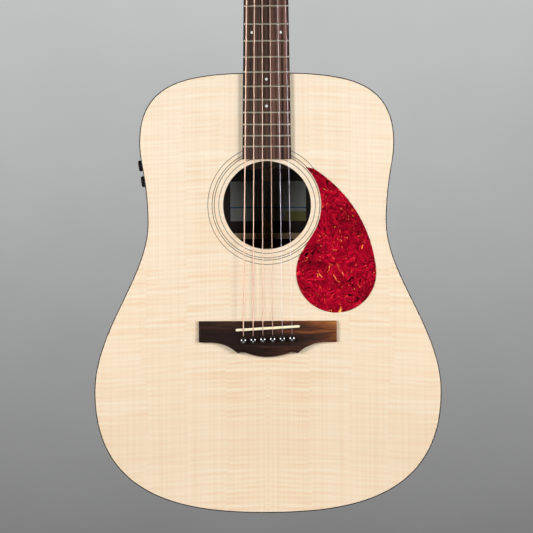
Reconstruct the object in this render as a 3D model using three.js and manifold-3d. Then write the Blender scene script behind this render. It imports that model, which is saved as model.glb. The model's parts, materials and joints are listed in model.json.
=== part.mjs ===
// Steel-string acoustic guitar: dreadnought body, fourteen frets clear of the body, six strings,
// a side-mounted preamp with two knobs and a jack in the end pin. Millimetres.
//
// The exported group stands the guitar up: +X is the treble side, -Y faces the listener, +Z runs up
// the neck. Inside it everything is drawn in the maker's plan view, in the group called plan:
//   x across the strings (treble positive), y down the strings from the nut, z into the body.
// z = 0 is the soundboard's face, which is also the neck's gluing face. y = 0 is the nut's edge,
// where the scale length starts.

import * as THREE from "three";
import { mergeVertices } from "three/addons/utils/BufferGeometryUtils.js";
import Module from "manifold-3d";

const wasm = await Module();
wasm.setup();

// ---------------------------------------------------------------- driving dimensions

const degrees = Math.PI / 180;
const glueGap = 0.3; // clearance left between neighbouring pieces

const scaleLength = 648;
const fretCount = 20;
const bodyFret = 14; // the body starts at this fret
const distanceToFret = (n) => scaleLength * (1 - 2 ** (-n / 12));

const nutWidth = 44;
const boardEndWidth = 55.5;
const boardEnd = 458.3; // distance from the nut to the fretboard's end
const boardThickness = 6.2;
const boardRadius = 400; // crossways crown of the fretboard
const fretHeight = 1.1;
const halfBoardWidth = (y) => (nutWidth + ((boardEndWidth - nutWidth) * y) / boardEnd) / 2;

const bodyTop = distanceToFret(bodyFret);
const bodyLength = 502;
const bodyBottom = bodyTop + bodyLength;
const depthAtNeck = 100;
const depthAtTail = 122;
const backRadius = 4600; // the back is arched like a piece of this sphere
const topThickness = 2.8;
const backThickness = 2.6;
const sideThickness = 2.2;
const bindingWidth = 1.2;
const bindingHeight = 6;
const liningWidth = 5.5;
const liningHeight = 14;
const braceInset = bindingWidth + glueGap + sideThickness + liningWidth; // where the braces stop

const soundHole = { y: 510.5, radius: 50.2 };
const rosetteRadii = [54.2, 68.2];

const bridgeEdge = 642.5; // distance from the nut to the bridge's upper edge
const bridgeWidth = 157;
const bridgeHeight = 8.5;
const saddleY = 650.6; // on the centre line
const saddleSlant = 3.2 * degrees; // the bass end is further from the nut
const saddleLength = 73;
const saddleThickness = 3;
const saddleTop = 11.3; // height of the strings' undersides over the soundboard, at the saddle
const nutTop = 7.7; // the same at the nut
const pinY = 663.4;
const pinSlant = 2.2 * degrees;

const stringSpread = { nut: 35.8, saddle: 55.2 }; // low E to high E
const strings = [
  { name: "low_e", diameter: 1.35, wound: true },
  { name: "a", diameter: 1.07, wound: true },
  { name: "d", diameter: 0.81, wound: true },
  { name: "g", diameter: 0.61, wound: true },
  { name: "b", diameter: 0.41, wound: false },
  { name: "high_e", diameter: 0.305, wound: false },
];
const acrossStrings = (i, spread) => spread * (i / 5 - 0.5);

const headTilt = 14 * degrees;
const headThickness = 15; // with its plate
const headPlateThickness = 1.5;
const nutThickness = 5;
const postX = 23.5;
const postY = [-42, -81, -120]; // along the headstock, from its root
const postRadius = 3;

// ---------------------------------------------------------------- materials

const finish = (color, roughness, metalness = 0) =>
  new THREE.MeshStandardMaterial({ color, roughness, metalness });
const materials = {
  spruce: finish(0xf1dcb9, 0.5),
  innerSpruce: finish(0xd8b98a, 0.8),
  rosewood: finish(0x3a2620, 0.45),
  bridgeWood: finish(0x4a3028, 0.5),
  mahogany: finish(0x5d3523, 0.5),
  maple: finish(0xcaa56f, 0.7),
  bone: finish(0xefe6cb, 0.4),
  blackPlastic: finish(0x0c0c0d, 0.35),
  tortoise: finish(0x9c0d1f, 0.2),
  chrome: finish(0xc8c9cb, 0.2, 1),
  fretWire: finish(0xb9b49f, 0.3, 1),
  bronzeString: finish(0xc98d5c, 0.35, 1),
  steelString: finish(0xbcbcc2, 0.25, 1),
  steelRod: finish(0x6f7072, 0.5, 1),
};

// ---------------------------------------------------------------- solids

// A closed geometry as a manifold-3d solid. Zero-area faces, such as a lathe's at its poles, go.
function toSolid(geometry) {
  const bare = new THREE.BufferGeometry();
  const source = geometry.index ? geometry.toNonIndexed() : geometry;
  bare.setAttribute("position", source.getAttribute("position").clone());
  const merged = mergeVertices(bare, 1e-4);
  const corners = merged.index.array;
  const triVerts = [];
  for (let i = 0; i < corners.length; i += 3) {
    const [a, b, c] = corners.slice(i, i + 3);
    if (a !== b && b !== c && c !== a) triVerts.push(a, b, c);
  }
  const mesh = new wasm.Mesh({
    numProp: 3,
    vertProperties: merged.getAttribute("position").array,
    triVerts: new Uint32Array(triVerts),
  });
  return new wasm.Manifold(mesh);
}

function toGeometry(solid) {
  const mesh = solid.getMesh();
  const geometry = new THREE.BufferGeometry();
  geometry.setAttribute("position", new THREE.BufferAttribute(mesh.vertProperties, 3));
  geometry.setIndex(new THREE.BufferAttribute(mesh.triVerts, 1));
  geometry.computeVertexNormals();
  return geometry;
}

const combine = (operation) => (first, ...others) =>
  toGeometry(others.reduce((solid, other) => solid[operation](toSolid(other)), toSolid(first)));
const join = combine("add");
const cut = combine("subtract");
const keep = combine("intersect"); // what all of them share

// A shape through the given [x, y] points, leaving out any that repeats the one before it.
function shapeThrough(points) {
  const kept = points.filter(([x, y], i) => {
    const [beforeX, beforeY] = points.at(i - 1);
    return Math.hypot(x - beforeX, y - beforeY) > 0.01;
  });
  return new THREE.Shape(kept.map(([x, y]) => new THREE.Vector2(x, y)));
}

function arcPoints(x, y, radius, from, to, steps) {
  const angles = Array.from({ length: steps + 1 }, (_, i) => from + ((to - from) * i) / steps);
  return angles.map((angle) => [x + radius * Math.cos(angle), y + radius * Math.sin(angle)]);
}

// A plan-view shape as a slab from depth z0 to z1.
function slab(shape, z0, z1, curveSegments = 12) {
  const settings = { depth: z1 - z0, bevelEnabled: false, curveSegments };
  return new THREE.ExtrudeGeometry(shape, settings).translate(0, 0, z0);
}

function box(x0, x1, y0, y1, z0, z1) {
  const geometry = new THREE.BoxGeometry(x1 - x0, y1 - y0, z1 - z0);
  return geometry.translate((x0 + x1) / 2, (y0 + y1) / 2, (z0 + z1) / 2);
}

// A round bar or hole along z.
function rod(x, y, radius, z0, z1, sides = 12) {
  const geometry = new THREE.CylinderGeometry(radius, radius, z1 - z0, sides);
  return geometry.rotateX(Math.PI / 2).translate(x, y, (z0 + z1) / 2);
}

// A turned piece about the z axis, from [radius, z] pairs in order of rising z.
function turned(profile, sides = 16) {
  const points = profile.map(([radius, z]) => new THREE.Vector2(radius, z));
  return new THREE.LatheGeometry(points, sides).rotateX(Math.PI / 2);
}

// Moves every vertex by a rule: change(vertex) edits the vector it is given. A rule that mirrors
// the piece would leave it inside out, so its faces are then turned round.
function reshape(geometry, change) {
  const moved = geometry.index ? geometry.toNonIndexed() : geometry;
  const position = moved.getAttribute("position");
  const vertex = new THREE.Vector3();
  for (let i = 0; i < position.count; i++) {
    change(vertex.fromBufferAttribute(position, i));
    position.setXYZ(i, vertex.x, vertex.y, vertex.z);
  }
  if (toSolid(moved).volume() < 0) turnFacesRound(position);
  return moved;
}

function turnFacesRound(position) {
  const [second, third] = [new THREE.Vector3(), new THREE.Vector3()];
  for (let i = 0; i < position.count; i += 3) {
    second.fromBufferAttribute(position, i + 1);
    third.fromBufferAttribute(position, i + 2);
    position.setXYZ(i + 1, third.x, third.y, third.z);
    position.setXYZ(i + 2, second.x, second.y, second.z);
  }
}

// A unit half-round bar along y, round towards +z, stretched at each station to the given half
// width and depth. Fullness below 1 squares the section up a little.
function halfRoundBar(y0, y1, steps, halfWidth, depth, fullness = 0.85, sides = 12) {
  const shape = new THREE.Shape();
  shape.moveTo(1, 0);
  for (let i = 1; i <= sides; i++) {
    const angle = (Math.PI * i) / sides;
    const across = Math.sign(Math.cos(angle)) * Math.abs(Math.cos(angle)) ** fullness;
    shape.lineTo(i === sides ? -1 : across, i === sides ? 0 : -(Math.sin(angle) ** fullness));
  }
  const settings = { depth: y1 - y0, steps, bevelEnabled: false };
  const bar = new THREE.ExtrudeGeometry(shape, settings).rotateX(-Math.PI / 2).translate(0, y0, 0);
  return reshape(bar, (v) => v.set(v.x * halfWidth(v.y), v.y, v.z * depth(v.y)));
}

// A curve that goes straight from point to point, one step each.
class PointToPoint extends THREE.Curve {
  constructor(points) {
    super();
    this.points = points;
  }
  getPoint(t, target = new THREE.Vector3()) {
    const last = this.points.length - 1;
    const i = Math.min(Math.floor(t * last + 1e-6), last - 1);
    return target.lerpVectors(this.points[i], this.points[i + 1], t * last - i);
  }
  getPointAt(t, target) {
    return this.getPoint(t, target);
  }
  getTangentAt(t, target = new THREE.Vector3()) {
    const last = this.points.length - 1;
    const i = Math.round(t * last);
    const before = this.points[Math.max(i - 1, 0)];
    const here = this.points[i];
    const after = this.points[Math.min(i + 1, last)];
    const arriving = here.clone().sub(before).normalize();
    const leaving = after.clone().sub(here).normalize();
    return target.addVectors(arriving, leaving).normalize();
  }
}

function wire(points, radius, sides = 6) {
  const section = new THREE.Shape();
  for (let i = 0; i < sides; i++) {
    const angle = (2 * Math.PI * i) / sides;
    const corner = [radius * Math.cos(angle), radius * Math.sin(angle)];
    if (i === 0) section.moveTo(...corner);
    else section.lineTo(...corner);
  }
  const settings = { steps: points.length - 1, extrudePath: new PointToPoint(points) };
  return new THREE.ExtrudeGeometry(section, settings);
}

// ---------------------------------------------------------------- the assembly

const guitar = new THREE.Group();
const plan = new THREE.Group(); // maker's plan view
plan.rotation.x = -Math.PI / 2;
guitar.add(plan);

const headstock = new THREE.Group(); // tilted back, with y = 0 at its root and z = 0 on its face
headstock.position.set(0, -nutThickness, 0);
headstock.rotation.x = -headTilt;
headstock.updateMatrix();
plan.add(headstock);

function addPiece(parent, name, geometry, material) {
  const mesh = new THREE.Mesh(geometry, material);
  mesh.name = name;
  parent.add(mesh);
  return mesh;
}

// ---------------------------------------------------------------- body outline

// Half of the body's outline, from the neck joint round to the tail: x is the half width and y the
// distance below the body's top edge. Four curves join at the upper bout, the waist and the lower bout.
function halfOutline() {
  const upperBout = [145.4, 79.8];
  const waist = [136.3, 171.2];
  const lowerBout = [197.9, 363.9];
  const path = new THREE.Path();
  path.moveTo(0, 0);
  path.bezierCurveTo(85.4, 0, upperBout[0], upperBout[1] - 74.1, ...upperBout);
  path.bezierCurveTo(upperBout[0], upperBout[1] + 22.7, waist[0], waist[1] - 48.8, ...waist);
  path.bezierCurveTo(waist[0], waist[1] + 60.3, lowerBout[0], lowerBout[1] - 71.1, ...lowerBout);
  path.bezierCurveTo(lowerBout[0], lowerBout[1] + 128.4, 81.5, bodyLength, 0, bodyLength);
  return path;
}
const outlineCurve = halfOutline();

// The outline point and its inward normal, at a share of the way round the treble side.
function outlineAt(share) {
  const point = outlineCurve.getPointAt(share);
  const along = outlineCurve.getTangentAt(share);
  return { point: point.setY(point.y + bodyTop), inward: new THREE.Vector2(-along.y, along.x) };
}

function outlinePoints(inset, perSide = 34) {
  const treble = [];
  for (let i = 0; i <= perSide; i++) {
    const { point, inward } = outlineAt(i / perSide);
    treble.push(point.addScaledVector(inward, inset));
  }
  treble[0].x = 0;
  treble[perSide].x = 0;
  const bass = treble.slice(1, -1).reverse();
  return [...treble, ...bass.map((p) => new THREE.Vector2(-p.x, p.y))];
}

const bodyShape = (inset) => new THREE.Shape(outlinePoints(inset));
function bodyRing(outerInset, innerInset) {
  const shape = bodyShape(outerInset);
  shape.holes.push(new THREE.Path(outlinePoints(innerInset)));
  return shape;
}

// Everything in front of the back's arched outer face, moved forward by offset.
const farBehind = 140;
const backSlope = Math.atan((depthAtTail - depthAtNeck) / bodyLength);
function frontOfBack(offset) {
  const rim = 330;
  const rings = 3;
  const sag = (radius) => (radius * radius) / (2 * backRadius);
  const profile = [[0, -200], [rim, -200]];
  for (let i = rings; i >= 0; i--) profile.push([(rim * i) / rings, -sag((rim * i) / rings)]);
  const crown = (depthAtNeck + depthAtTail) / 2 + sag(bodyLength / 2);
  return turned(profile, 20).rotateX(backSlope).translate(0, bodyTop + bodyLength / 2, crown - offset);
}

// Depth of the back's outer face on the centre line.
const centreDepth = (y) => {
  const fromMiddle = y - bodyTop - bodyLength / 2;
  const arch = ((bodyLength / 2) ** 2 - fromMiddle ** 2) / (2 * backRadius);
  return (depthAtNeck + depthAtTail) / 2 + fromMiddle * Math.tan(backSlope) + arch;
};

// ---------------------------------------------------------------- truss rod

const trussRod = { halfWidth: 3, z0: 3.3, z1: 9.3, start: 8, end: 451.5 };
function trussChannel(y0, y1, z0 = trussRod.z0 - glueGap) {
  const reach = trussRod.halfWidth + glueGap;
  return box(-reach, reach, y0, y1, z0, trussRod.z1 + glueGap);
}

function makeTrussRod() {
  const { halfWidth, z0, z1, start, end } = trussRod;
  addPiece(plan, "truss_rod", box(-halfWidth, halfWidth, start, end, z0, z1), materials.steelRod);
  const acrossFlats = 5.4;
  const nutLength = 7;
  const corner = acrossFlats / Math.sqrt(3);
  const hexagon = new THREE.CylinderGeometry(corner, corner, nutLength, 6);
  const keyHole = new THREE.CylinderGeometry(1.7, 1.7, nutLength - 2, 6).translate(0, 2, 0);
  const nut = addPiece(plan, "truss_rod_nut", cut(hexagon, keyHole), materials.steelRod);
  nut.position.set(0, end + glueGap + nutLength / 2, (z0 + z1) / 2);
}

// ---------------------------------------------------------------- soundboard side

const pinPlace = (i) => {
  const x = acrossStrings(i, stringSpread.saddle);
  return { x, y: pinY - x * Math.tan(pinSlant) };
};
const pinHoleRadius = 2.85;
const notchHalfWidth = 1;
const notchReach = 6.4;

// Six pin holes, each with the notch that its string comes up in, as one cutting tool per hole.
function pinHoles(z0, z1) {
  return strings.map((_, i) => {
    const { x, y } = pinPlace(i);
    const notch = box(x - notchHalfWidth, x + notchHalfWidth, y - notchReach, y, z0, z1);
    return join(rod(x, y, pinHoleRadius, z0, z1, 10), notch);
  });
}

function makeSoundboard() {
  const shape = bodyShape(bindingWidth + glueGap);
  const hole = new THREE.Path().absarc(0, soundHole.y, soundHole.radius, 0, 2 * Math.PI, true);
  shape.holes.push(hole);
  const plate = slab(shape, 0, topThickness, 18);
  const [inner, outer] = rosetteRadii;
  const recess = slab(annulus(inner - glueGap, outer + glueGap), -1, 1.2, 18);
  addPiece(plan, "soundboard", cut(plate, recess, ...pinHoles(-1, topThickness + 1)), materials.spruce);
  addPiece(plan, "rosette", slab(annulus(inner, outer), 0, 0.9, 18), materials.maple);
}

function annulus(inner, outer) {
  const shape = new THREE.Shape().absarc(0, soundHole.y, outer, 0, 2 * Math.PI, false);
  shape.holes.push(new THREE.Path().absarc(0, soundHole.y, inner, 0, 2 * Math.PI, true));
  return shape;
}

// A teardrop: one arc follows the rosette, a short straight leads into the round belly, and a long arc
// runs up the outer side to a tip that is cut off at a slant.
function makePickguard() {
  const follow = { radius: 61.7, tip: -44.4 * degrees };
  const belly = { x: 78.4, y: 77.3, radius: 45.7 }; // from the middle of the sound hole
  const long = { radius: 152.8, start: -57.9 * degrees, end: -5.7 * degrees };
  const apart = Math.hypot(belly.x, belly.y);
  const join = Math.atan2(belly.y, belly.x) - Math.acos((follow.radius + belly.radius) / apart);
  const longX = belly.x - (long.radius - belly.radius) * Math.cos(long.end);
  const longY = soundHole.y + belly.y - (long.radius - belly.radius) * Math.sin(long.end);
  const shape = shapeThrough([
    ...arcPoints(longX, longY, long.radius, long.start, long.end, 10),
    ...arcPoints(belly.x, soundHole.y + belly.y, belly.radius, long.end, join + Math.PI, 22),
    ...arcPoints(0, soundHole.y, follow.radius, join, follow.tip, 14),
  ]);
  addPiece(plan, "pickguard", slab(shape, -0.8, 0), materials.tortoise);
}

// One half is drawn from the middle of the straight upper edge round to the belly's lowest point:
// a wing, a scoop that ends in a point, a small step, and the belly's arc.
function bridgeShape() {
  const half = bridgeWidth / 2;
  const wing = 24.2;
  const scoop = { x: 65.5, radius: 45.4, pointX: 34.2 };
  const belly = { x: 26, y: 35.5, lowest: 40.9 };
  const rise = belly.lowest - belly.y;
  const bellyRadius = (belly.x ** 2 + rise ** 2) / (2 * rise);
  const outline = [[half, 0], [half, wing], [scoop.x, wing]];
  const steps = 6;
  for (let i = 1; i <= steps; i++) {
    const x = scoop.x + ((scoop.pointX - scoop.x) * i) / steps;
    const drop = scoop.radius - Math.sqrt(scoop.radius ** 2 - (scoop.x - x) ** 2);
    outline.push([x, wing + drop]);
  }
  outline.push([scoop.pointX - 2, belly.y]);
  for (let i = 0; i <= steps; i++) {
    const x = belly.x * (1 - i / steps);
    const drop = Math.sqrt(bellyRadius ** 2 - x ** 2) - (bellyRadius - rise);
    outline.push([x, belly.y + drop]);
  }
  const mirrored = outline.slice(0, -1).reverse().map(([x, y]) => [-x, y]);
  return new THREE.Shape([...outline, ...mirrored].map(([x, y]) => new THREE.Vector2(x, bridgeEdge + y)));
}

// The bridge seen along the strings: full height in the middle, easing down to lower wing tips.
function bridgeSideShape() {
  const tipHeight = 4.8;
  const flat = 30;
  const tip = bridgeWidth / 2 + 1;
  const steps = 5;
  const right = [];
  for (let i = 0; i <= steps; i++) {
    const share = i / steps;
    const ease = (1 - Math.cos(Math.PI * share)) / 2;
    const height = bridgeHeight - (bridgeHeight - tipHeight) * ease;
    right.push([flat + (tip - flat) * share, height]);
  }
  right.push([tip, 0]);
  const left = [...right].reverse().map(([x, height]) => [-x, height]);
  return new THREE.Shape([...right, ...left].map(([x, height]) => new THREE.Vector2(x, height)));
}

function saddleBox(margin, z0, z1) {
  const length = saddleLength + 2 * margin;
  const thickness = saddleThickness + 2 * margin;
  const geometry = new THREE.BoxGeometry(length, thickness, z1 - z0);
  return geometry.rotateZ(-saddleSlant).translate(0, saddleY, (z0 + z1) / 2);
}

function makeBridge() {
  const fullHeight = slab(bridgeShape(), -bridgeHeight - 1, 0);
  const profile = new THREE.ExtrudeGeometry(bridgeSideShape(), { depth: 60, bevelEnabled: false });
  profile.rotateX(-Math.PI / 2).translate(0, bridgeEdge - 5, 0);
  const body = keep(fullHeight, profile);
  const slot = saddleBox(glueGap, -bridgeHeight - 2, -3);
  addPiece(plan, "bridge", cut(body, slot, ...pinHoles(-bridgeHeight - 2, 1)), materials.bridgeWood);
  makeSaddle();
  const plate = box(-55, 55, bridgeEdge + 2.5, bridgeEdge + 40.5, topThickness, topThickness + 2.5);
  const drilled = cut(plate, ...pinHoles(topThickness - 1, topThickness + 4));
  addPiece(plan, "bridge_plate", drilled, materials.maple);
}

// The saddle's top edge is crowned across the strings and rounded from back to front.
const saddleTopAt = (x) => saddleTop - (x * x) / (2 * boardRadius);
function makeSaddle() {
  const bottom = -3 - glueGap;
  const section = new THREE.Shape();
  const half = saddleThickness / 2;
  section.moveTo(-half, 0).lineTo(half, 0).lineTo(half, 0.87);
  section.lineTo(0.4, 1).lineTo(-0.4, 1).lineTo(-half, 0.87);
  const settings = { depth: saddleLength, steps: 8, bevelEnabled: false };
  const bar = new THREE.ExtrudeGeometry(section, settings).translate(0, 0, -saddleLength / 2);
  // section x goes along the strings, section y up, and the extrusion across
  const saddle = reshape(bar, (v) => v.set(v.z, v.x, bottom - v.y * (saddleTopAt(v.z) + bottom)));
  addPiece(plan, "saddle", saddle.rotateZ(-saddleSlant).translate(0, saddleY, 0), materials.bone);
}

function makeBridgePins() {
  const profile = [
    [0, -13.4], [1.9, -13.1], [3.2, -12], [3.6, -10.9], [3.4, -10.1], [2.5, -10],
    [2.4, 2], [2.1, 7], [0, 8.4],
  ];
  strings.forEach(({ name }, i) => {
    const pin = addPiece(plan, `bridge_pin_${name}`, turned(profile, 10), materials.blackPlastic);
    const { x, y } = pinPlace(i);
    pin.position.set(x, y, 0);
  });
}

// ---------------------------------------------------------------- box of the body

const seamGap = 0.4; // between the two sides, on the centre line
const farOut = 250; // past the body's edge, either way across
const jack = { z: centreDepth(bodyBottom) / 2, holeRadius: 6.3 };

function alongY(radius, y0, y1, z, sides = 14) {
  const geometry = new THREE.CylinderGeometry(radius, radius, y1 - y0, sides);
  return geometry.translate(0, (y0 + y1) / 2, z);
}

function makeSides() {
  const ring = slab(bodyRing(0, sideThickness), bindingHeight + glueGap, farBehind);
  const wall = keep(ring, frontOfBack(bindingHeight + glueGap));
  const jackHole = alongY(jack.holeRadius, bodyBottom - 20, bodyBottom + 5, jack.z);
  const openings = [jackHole, trussChannel(bodyTop - 5, bodyTop + 12, 0)];
  const knobHoles = knobs.map((knob) => knobRod(knob, 3.6, -12, 4, 10));
  const half = (x0, x1) => box(x0, x1, bodyTop - 5, bodyBottom + 5, 0, farBehind);
  const treble = keep(wall, half(seamGap / 2, farOut));
  const bass = keep(wall, half(-farOut, -seamGap / 2));
  addPiece(plan, "side_treble", cut(treble, ...openings), materials.rosewood);
  addPiece(plan, "side_bass", cut(bass, ...openings, ...knobHoles), materials.rosewood);
}

function makeBindings() {
  const ring = bodyRing(0, bindingWidth);
  const top = cut(slab(ring, 0, bindingHeight), trussChannel(bodyTop - 5, bodyTop + 12));
  addPiece(plan, "top_binding", top, materials.blackPlastic);
  const back = cut(keep(slab(ring, 60, farBehind), frontOfBack(0)), frontOfBack(bindingHeight));
  addPiece(plan, "back_binding", back, materials.blackPlastic);
}

const liningInset = sideThickness + glueGap;
function makeLinings() {
  const ring = bodyRing(liningInset, liningInset + liningWidth);
  const channel = trussChannel(bodyTop - 5, bodyTop + 12, 0);
  const top = cut(slab(ring, topThickness, topThickness + liningHeight), channel);
  addPiece(plan, "top_lining", top, materials.maple);
  const glueFace = backThickness + glueGap;
  const outer = keep(slab(ring, 60, farBehind), frontOfBack(glueFace));
  addPiece(plan, "back_lining", cut(outer, frontOfBack(glueFace + liningHeight)), materials.maple);
}

// A block at one end of the body, fitted between soundboard and back and notched over the linings.
function endBlock(x, y0, y1) {
  const rough = box(-x, x, y0, y1, topThickness, farBehind);
  const inside = slab(bodyShape(liningInset), 0, farBehind);
  const ring = bodyRing(0, liningInset + liningWidth + glueGap);
  const topNotch = slab(ring, 0, topThickness + liningHeight + glueGap);
  const notchFloor = frontOfBack(backThickness + liningHeight + 2 * glueGap);
  const backNotch = cut(slab(ring, 60, farBehind + 5), notchFloor);
  return cut(keep(rough, inside, frontOfBack(backThickness + glueGap)), topNotch, backNotch);
}

function makeBlocks() {
  const neckBlock = cut(endBlock(36, bodyTop, bodyTop + 46), trussChannel(bodyTop - 5, bodyTop + 60, 0));
  addPiece(plan, "neck_block", neckBlock, materials.mahogany);
  const tailBlock = cut(
    endBlock(45, bodyBottom - 24, bodyBottom),
    alongY(jack.holeRadius, bodyBottom - 40, bodyBottom + 5, jack.z),
  );
  addPiece(plan, "tail_block", tailBlock, materials.mahogany);
}

function makeBack() {
  const rough = slab(bodyShape(bindingWidth + glueGap), 60, farBehind);
  const plate = cut(keep(rough, frontOfBack(0)), frontOfBack(backThickness));
  addPiece(plan, "back_plate", plate, materials.rosewood);
}

// A soundboard brace: a bar with tapered ends, glued by its long edge at z = topThickness.
function topBrace([x0, y0], [x1, y1], width, height) {
  const length = Math.hypot(x1 - x0, y1 - y0);
  const tip = 3.5;
  const taper = Math.min(45, length / 3);
  const side = new THREE.Shape();
  side.moveTo(0, 0).lineTo(length, 0).lineTo(length, tip).lineTo(length - taper, height);
  side.lineTo(taper, height).lineTo(0, tip);
  const bar = new THREE.ExtrudeGeometry(side, { depth: width, bevelEnabled: false });
  bar.translate(0, 0, -width / 2).rotateX(Math.PI / 2);
  return bar.rotateZ(Math.atan2(y1 - y0, x1 - x0)).translate(x0, y0, topThickness);
}

function makeTopBracing() {
  const cross = [0, 585];
  const half = 48 * degrees; // each arm's angle from the centre line
  const arm = (side, along) => [side * along * Math.sin(half), cross[1] + along * Math.cos(half)];
  const armAbove = -172; // how far each arm of the X runs past its crossing, up and down
  const armBelow = 244;
  const transverse = { y: 436, reach: 134 };
  const shoulder = { x: 64, end: 529 };
  const bars = [
    topBrace(arm(1, armAbove), arm(1, armBelow), 8, 14),
    topBrace(arm(-1, armAbove), arm(-1, armBelow), 8, 14),
    topBrace([-transverse.reach, transverse.y], [transverse.reach, transverse.y], 12, 14),
    topBrace([-shoulder.x, transverse.y + 2], [-shoulder.x, shoulder.end], 6, 8),
    topBrace([shoulder.x, transverse.y + 2], [shoulder.x, shoulder.end], 6, 8),
    topBrace([100, 675], [-62, 762], 7, 10), // tone bars
    topBrace([134, 706], [-34, 815], 7, 9),
  ];
  const inside = slab(bodyShape(braceInset), 0, 40);
  const bracing = cut(keep(join(...bars), inside), trussChannel(400, 470));
  addPiece(plan, "top_bracing", bracing, materials.innerSpruce);
}

function makeBackBracing() {
  const glueFace = backThickness + glueGap;
  const braces = [
    { y: 460, width: 7, height: 13 },
    { y: 544, width: 7, height: 13 },
    { y: 660, width: 16, height: 9 },
    { y: 768, width: 16, height: 9 },
  ];
  const bars = braces.map(({ y, width, height }) =>
    cut(box(-farOut, farOut, y - width / 2, y + width / 2, 60, farBehind), frontOfBack(glueFace + height)),
  );
  const strip = cut(box(-7, 7, bodyTop + 47, bodyBottom - 25, 60, farBehind), frontOfBack(glueFace + 2));
  const inside = slab(bodyShape(braceInset), 40, farBehind);
  const bracing = keep(join(strip, ...bars), inside, frontOfBack(glueFace));
  addPiece(plan, "back_bracing", bracing, materials.innerSpruce);
}

function makeEndpinJack() {
  const bore = 3.3;
  const inside = -34; // distances along the pin, from the body's bottom edge
  const outside = 7.5;
  const profile = [
    [bore, inside], [6, inside], [6, 0.4], [8, 0.4], [8, 1.4], [5.4, 2.2], [5.2, 4.6],
    [7.4, 5.8], [7.4, outside], [bore, outside], [bore, inside],
  ];
  const pin = addPiece(plan, "endpin_jack", turned(profile, 14), materials.chrome);
  pin.rotation.x = -Math.PI / 2;
  pin.position.set(0, bodyBottom, jack.z);
}

// ---------------------------------------------------------------- preamp on the bass side

const preampDepth = 50;
const knobs = [{ name: "volume_knob", share: 0.2793 }, { name: "tone_knob", share: 0.3038 }];

// A knob's frame: on the bass side's surface at a share of the way round, with +z pointing out.
function sideFrame(share) {
  const { point, inward } = outlineAt(share);
  const frame = new THREE.Object3D();
  frame.position.set(-point.x, point.y, preampDepth);
  frame.lookAt(-point.x + inward.x, point.y - inward.y, preampDepth);
  frame.updateMatrix();
  return frame;
}

function knobRod({ share }, radius, z0, z1, sides = 12) {
  return rod(0, 0, radius, z0, z1, sides).applyMatrix4(sideFrame(share).matrix);
}

function roundedRectangle(width, height, radius) {
  const [x, y] = [width / 2 - radius, height / 2 - radius];
  const shape = new THREE.Shape();
  shape.absarc(x, y, radius, 0, Math.PI / 2, false);
  shape.absarc(-x, y, radius, Math.PI / 2, Math.PI, false);
  shape.absarc(-x, -y, radius, Math.PI, 1.5 * Math.PI, false);
  shape.absarc(x, -y, radius, 1.5 * Math.PI, 2 * Math.PI, false);
  return shape;
}

function makePreamp() {
  const middle = sideFrame((knobs[0].share + knobs[1].share) / 2);
  const face = slab(roundedRectangle(24, 46, 6), -20, 20, 2).applyMatrix4(middle.matrix);
  const bent = keep(slab(bodyRing(-1.2, -glueGap), 30, 70), face); // it follows the side
  const plateHoles = knobs.map((knob) => knobRod(knob, 3.4, -4, 6, 10));
  addPiece(plan, "control_plate", cut(bent, ...plateHoles), materials.blackPlastic);
  const enclosure = slab(roundedRectangle(26, 48, 3), -18, -5, 2).applyMatrix4(middle.matrix);
  const bores = knobs.map((knob) => knobRod(knob, 3.3, -14, 6, 10));
  addPiece(plan, "preamp_box", cut(enclosure, ...bores), materials.blackPlastic);
  const profile = [[0, -12], [2.6, -12], [2.6, 1.6], [6.5, 1.6], [6.5, 6.1], [5.8, 6.8], [0, 6.8]];
  for (const { name, share } of knobs) {
    const knob = addPiece(plan, name, turned(profile, 16), materials.blackPlastic);
    const frame = sideFrame(share);
    knob.position.copy(frame.position);
    knob.quaternion.copy(frame.quaternion);
  }
}

// ---------------------------------------------------------------- neck

// A point given in the headstock's own frame, in the plan view.
const fromHeadstock = (x, y, z) => new THREE.Vector3(x, y, z).applyMatrix4(headstock.matrix);

// The headstock's outline flares from the nut, widens a little and ends in a shallow arch.
function headstockShape(root) {
  const shape = new THREE.Shape();
  const half = { root: 22, low: 33.5, high: 37 };
  shape.moveTo(half.root, root);
  shape.lineTo(half.root, -4);
  shape.bezierCurveTo(half.root + 0.5, -16, half.low, -13, half.low, -25);
  shape.lineTo(half.high, -158);
  shape.quadraticCurveTo(half.high + 0.3, -165, half.high - 8, -167.5);
  shape.quadraticCurveTo(0, -176, -half.high + 8, -167.5);
  shape.quadraticCurveTo(-half.high - 0.3, -165, -half.high, -158);
  shape.lineTo(-half.low, -25);
  shape.bezierCurveTo(-half.low, -13, -half.root - 0.5, -16, -half.root, -4);
  shape.lineTo(-half.root, root);
  return shape;
}

const postHoles = (radius, z0, z1) =>
  tuners.map(({ x, y }) => rod(x, y, radius, z0, z1, 10));

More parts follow.
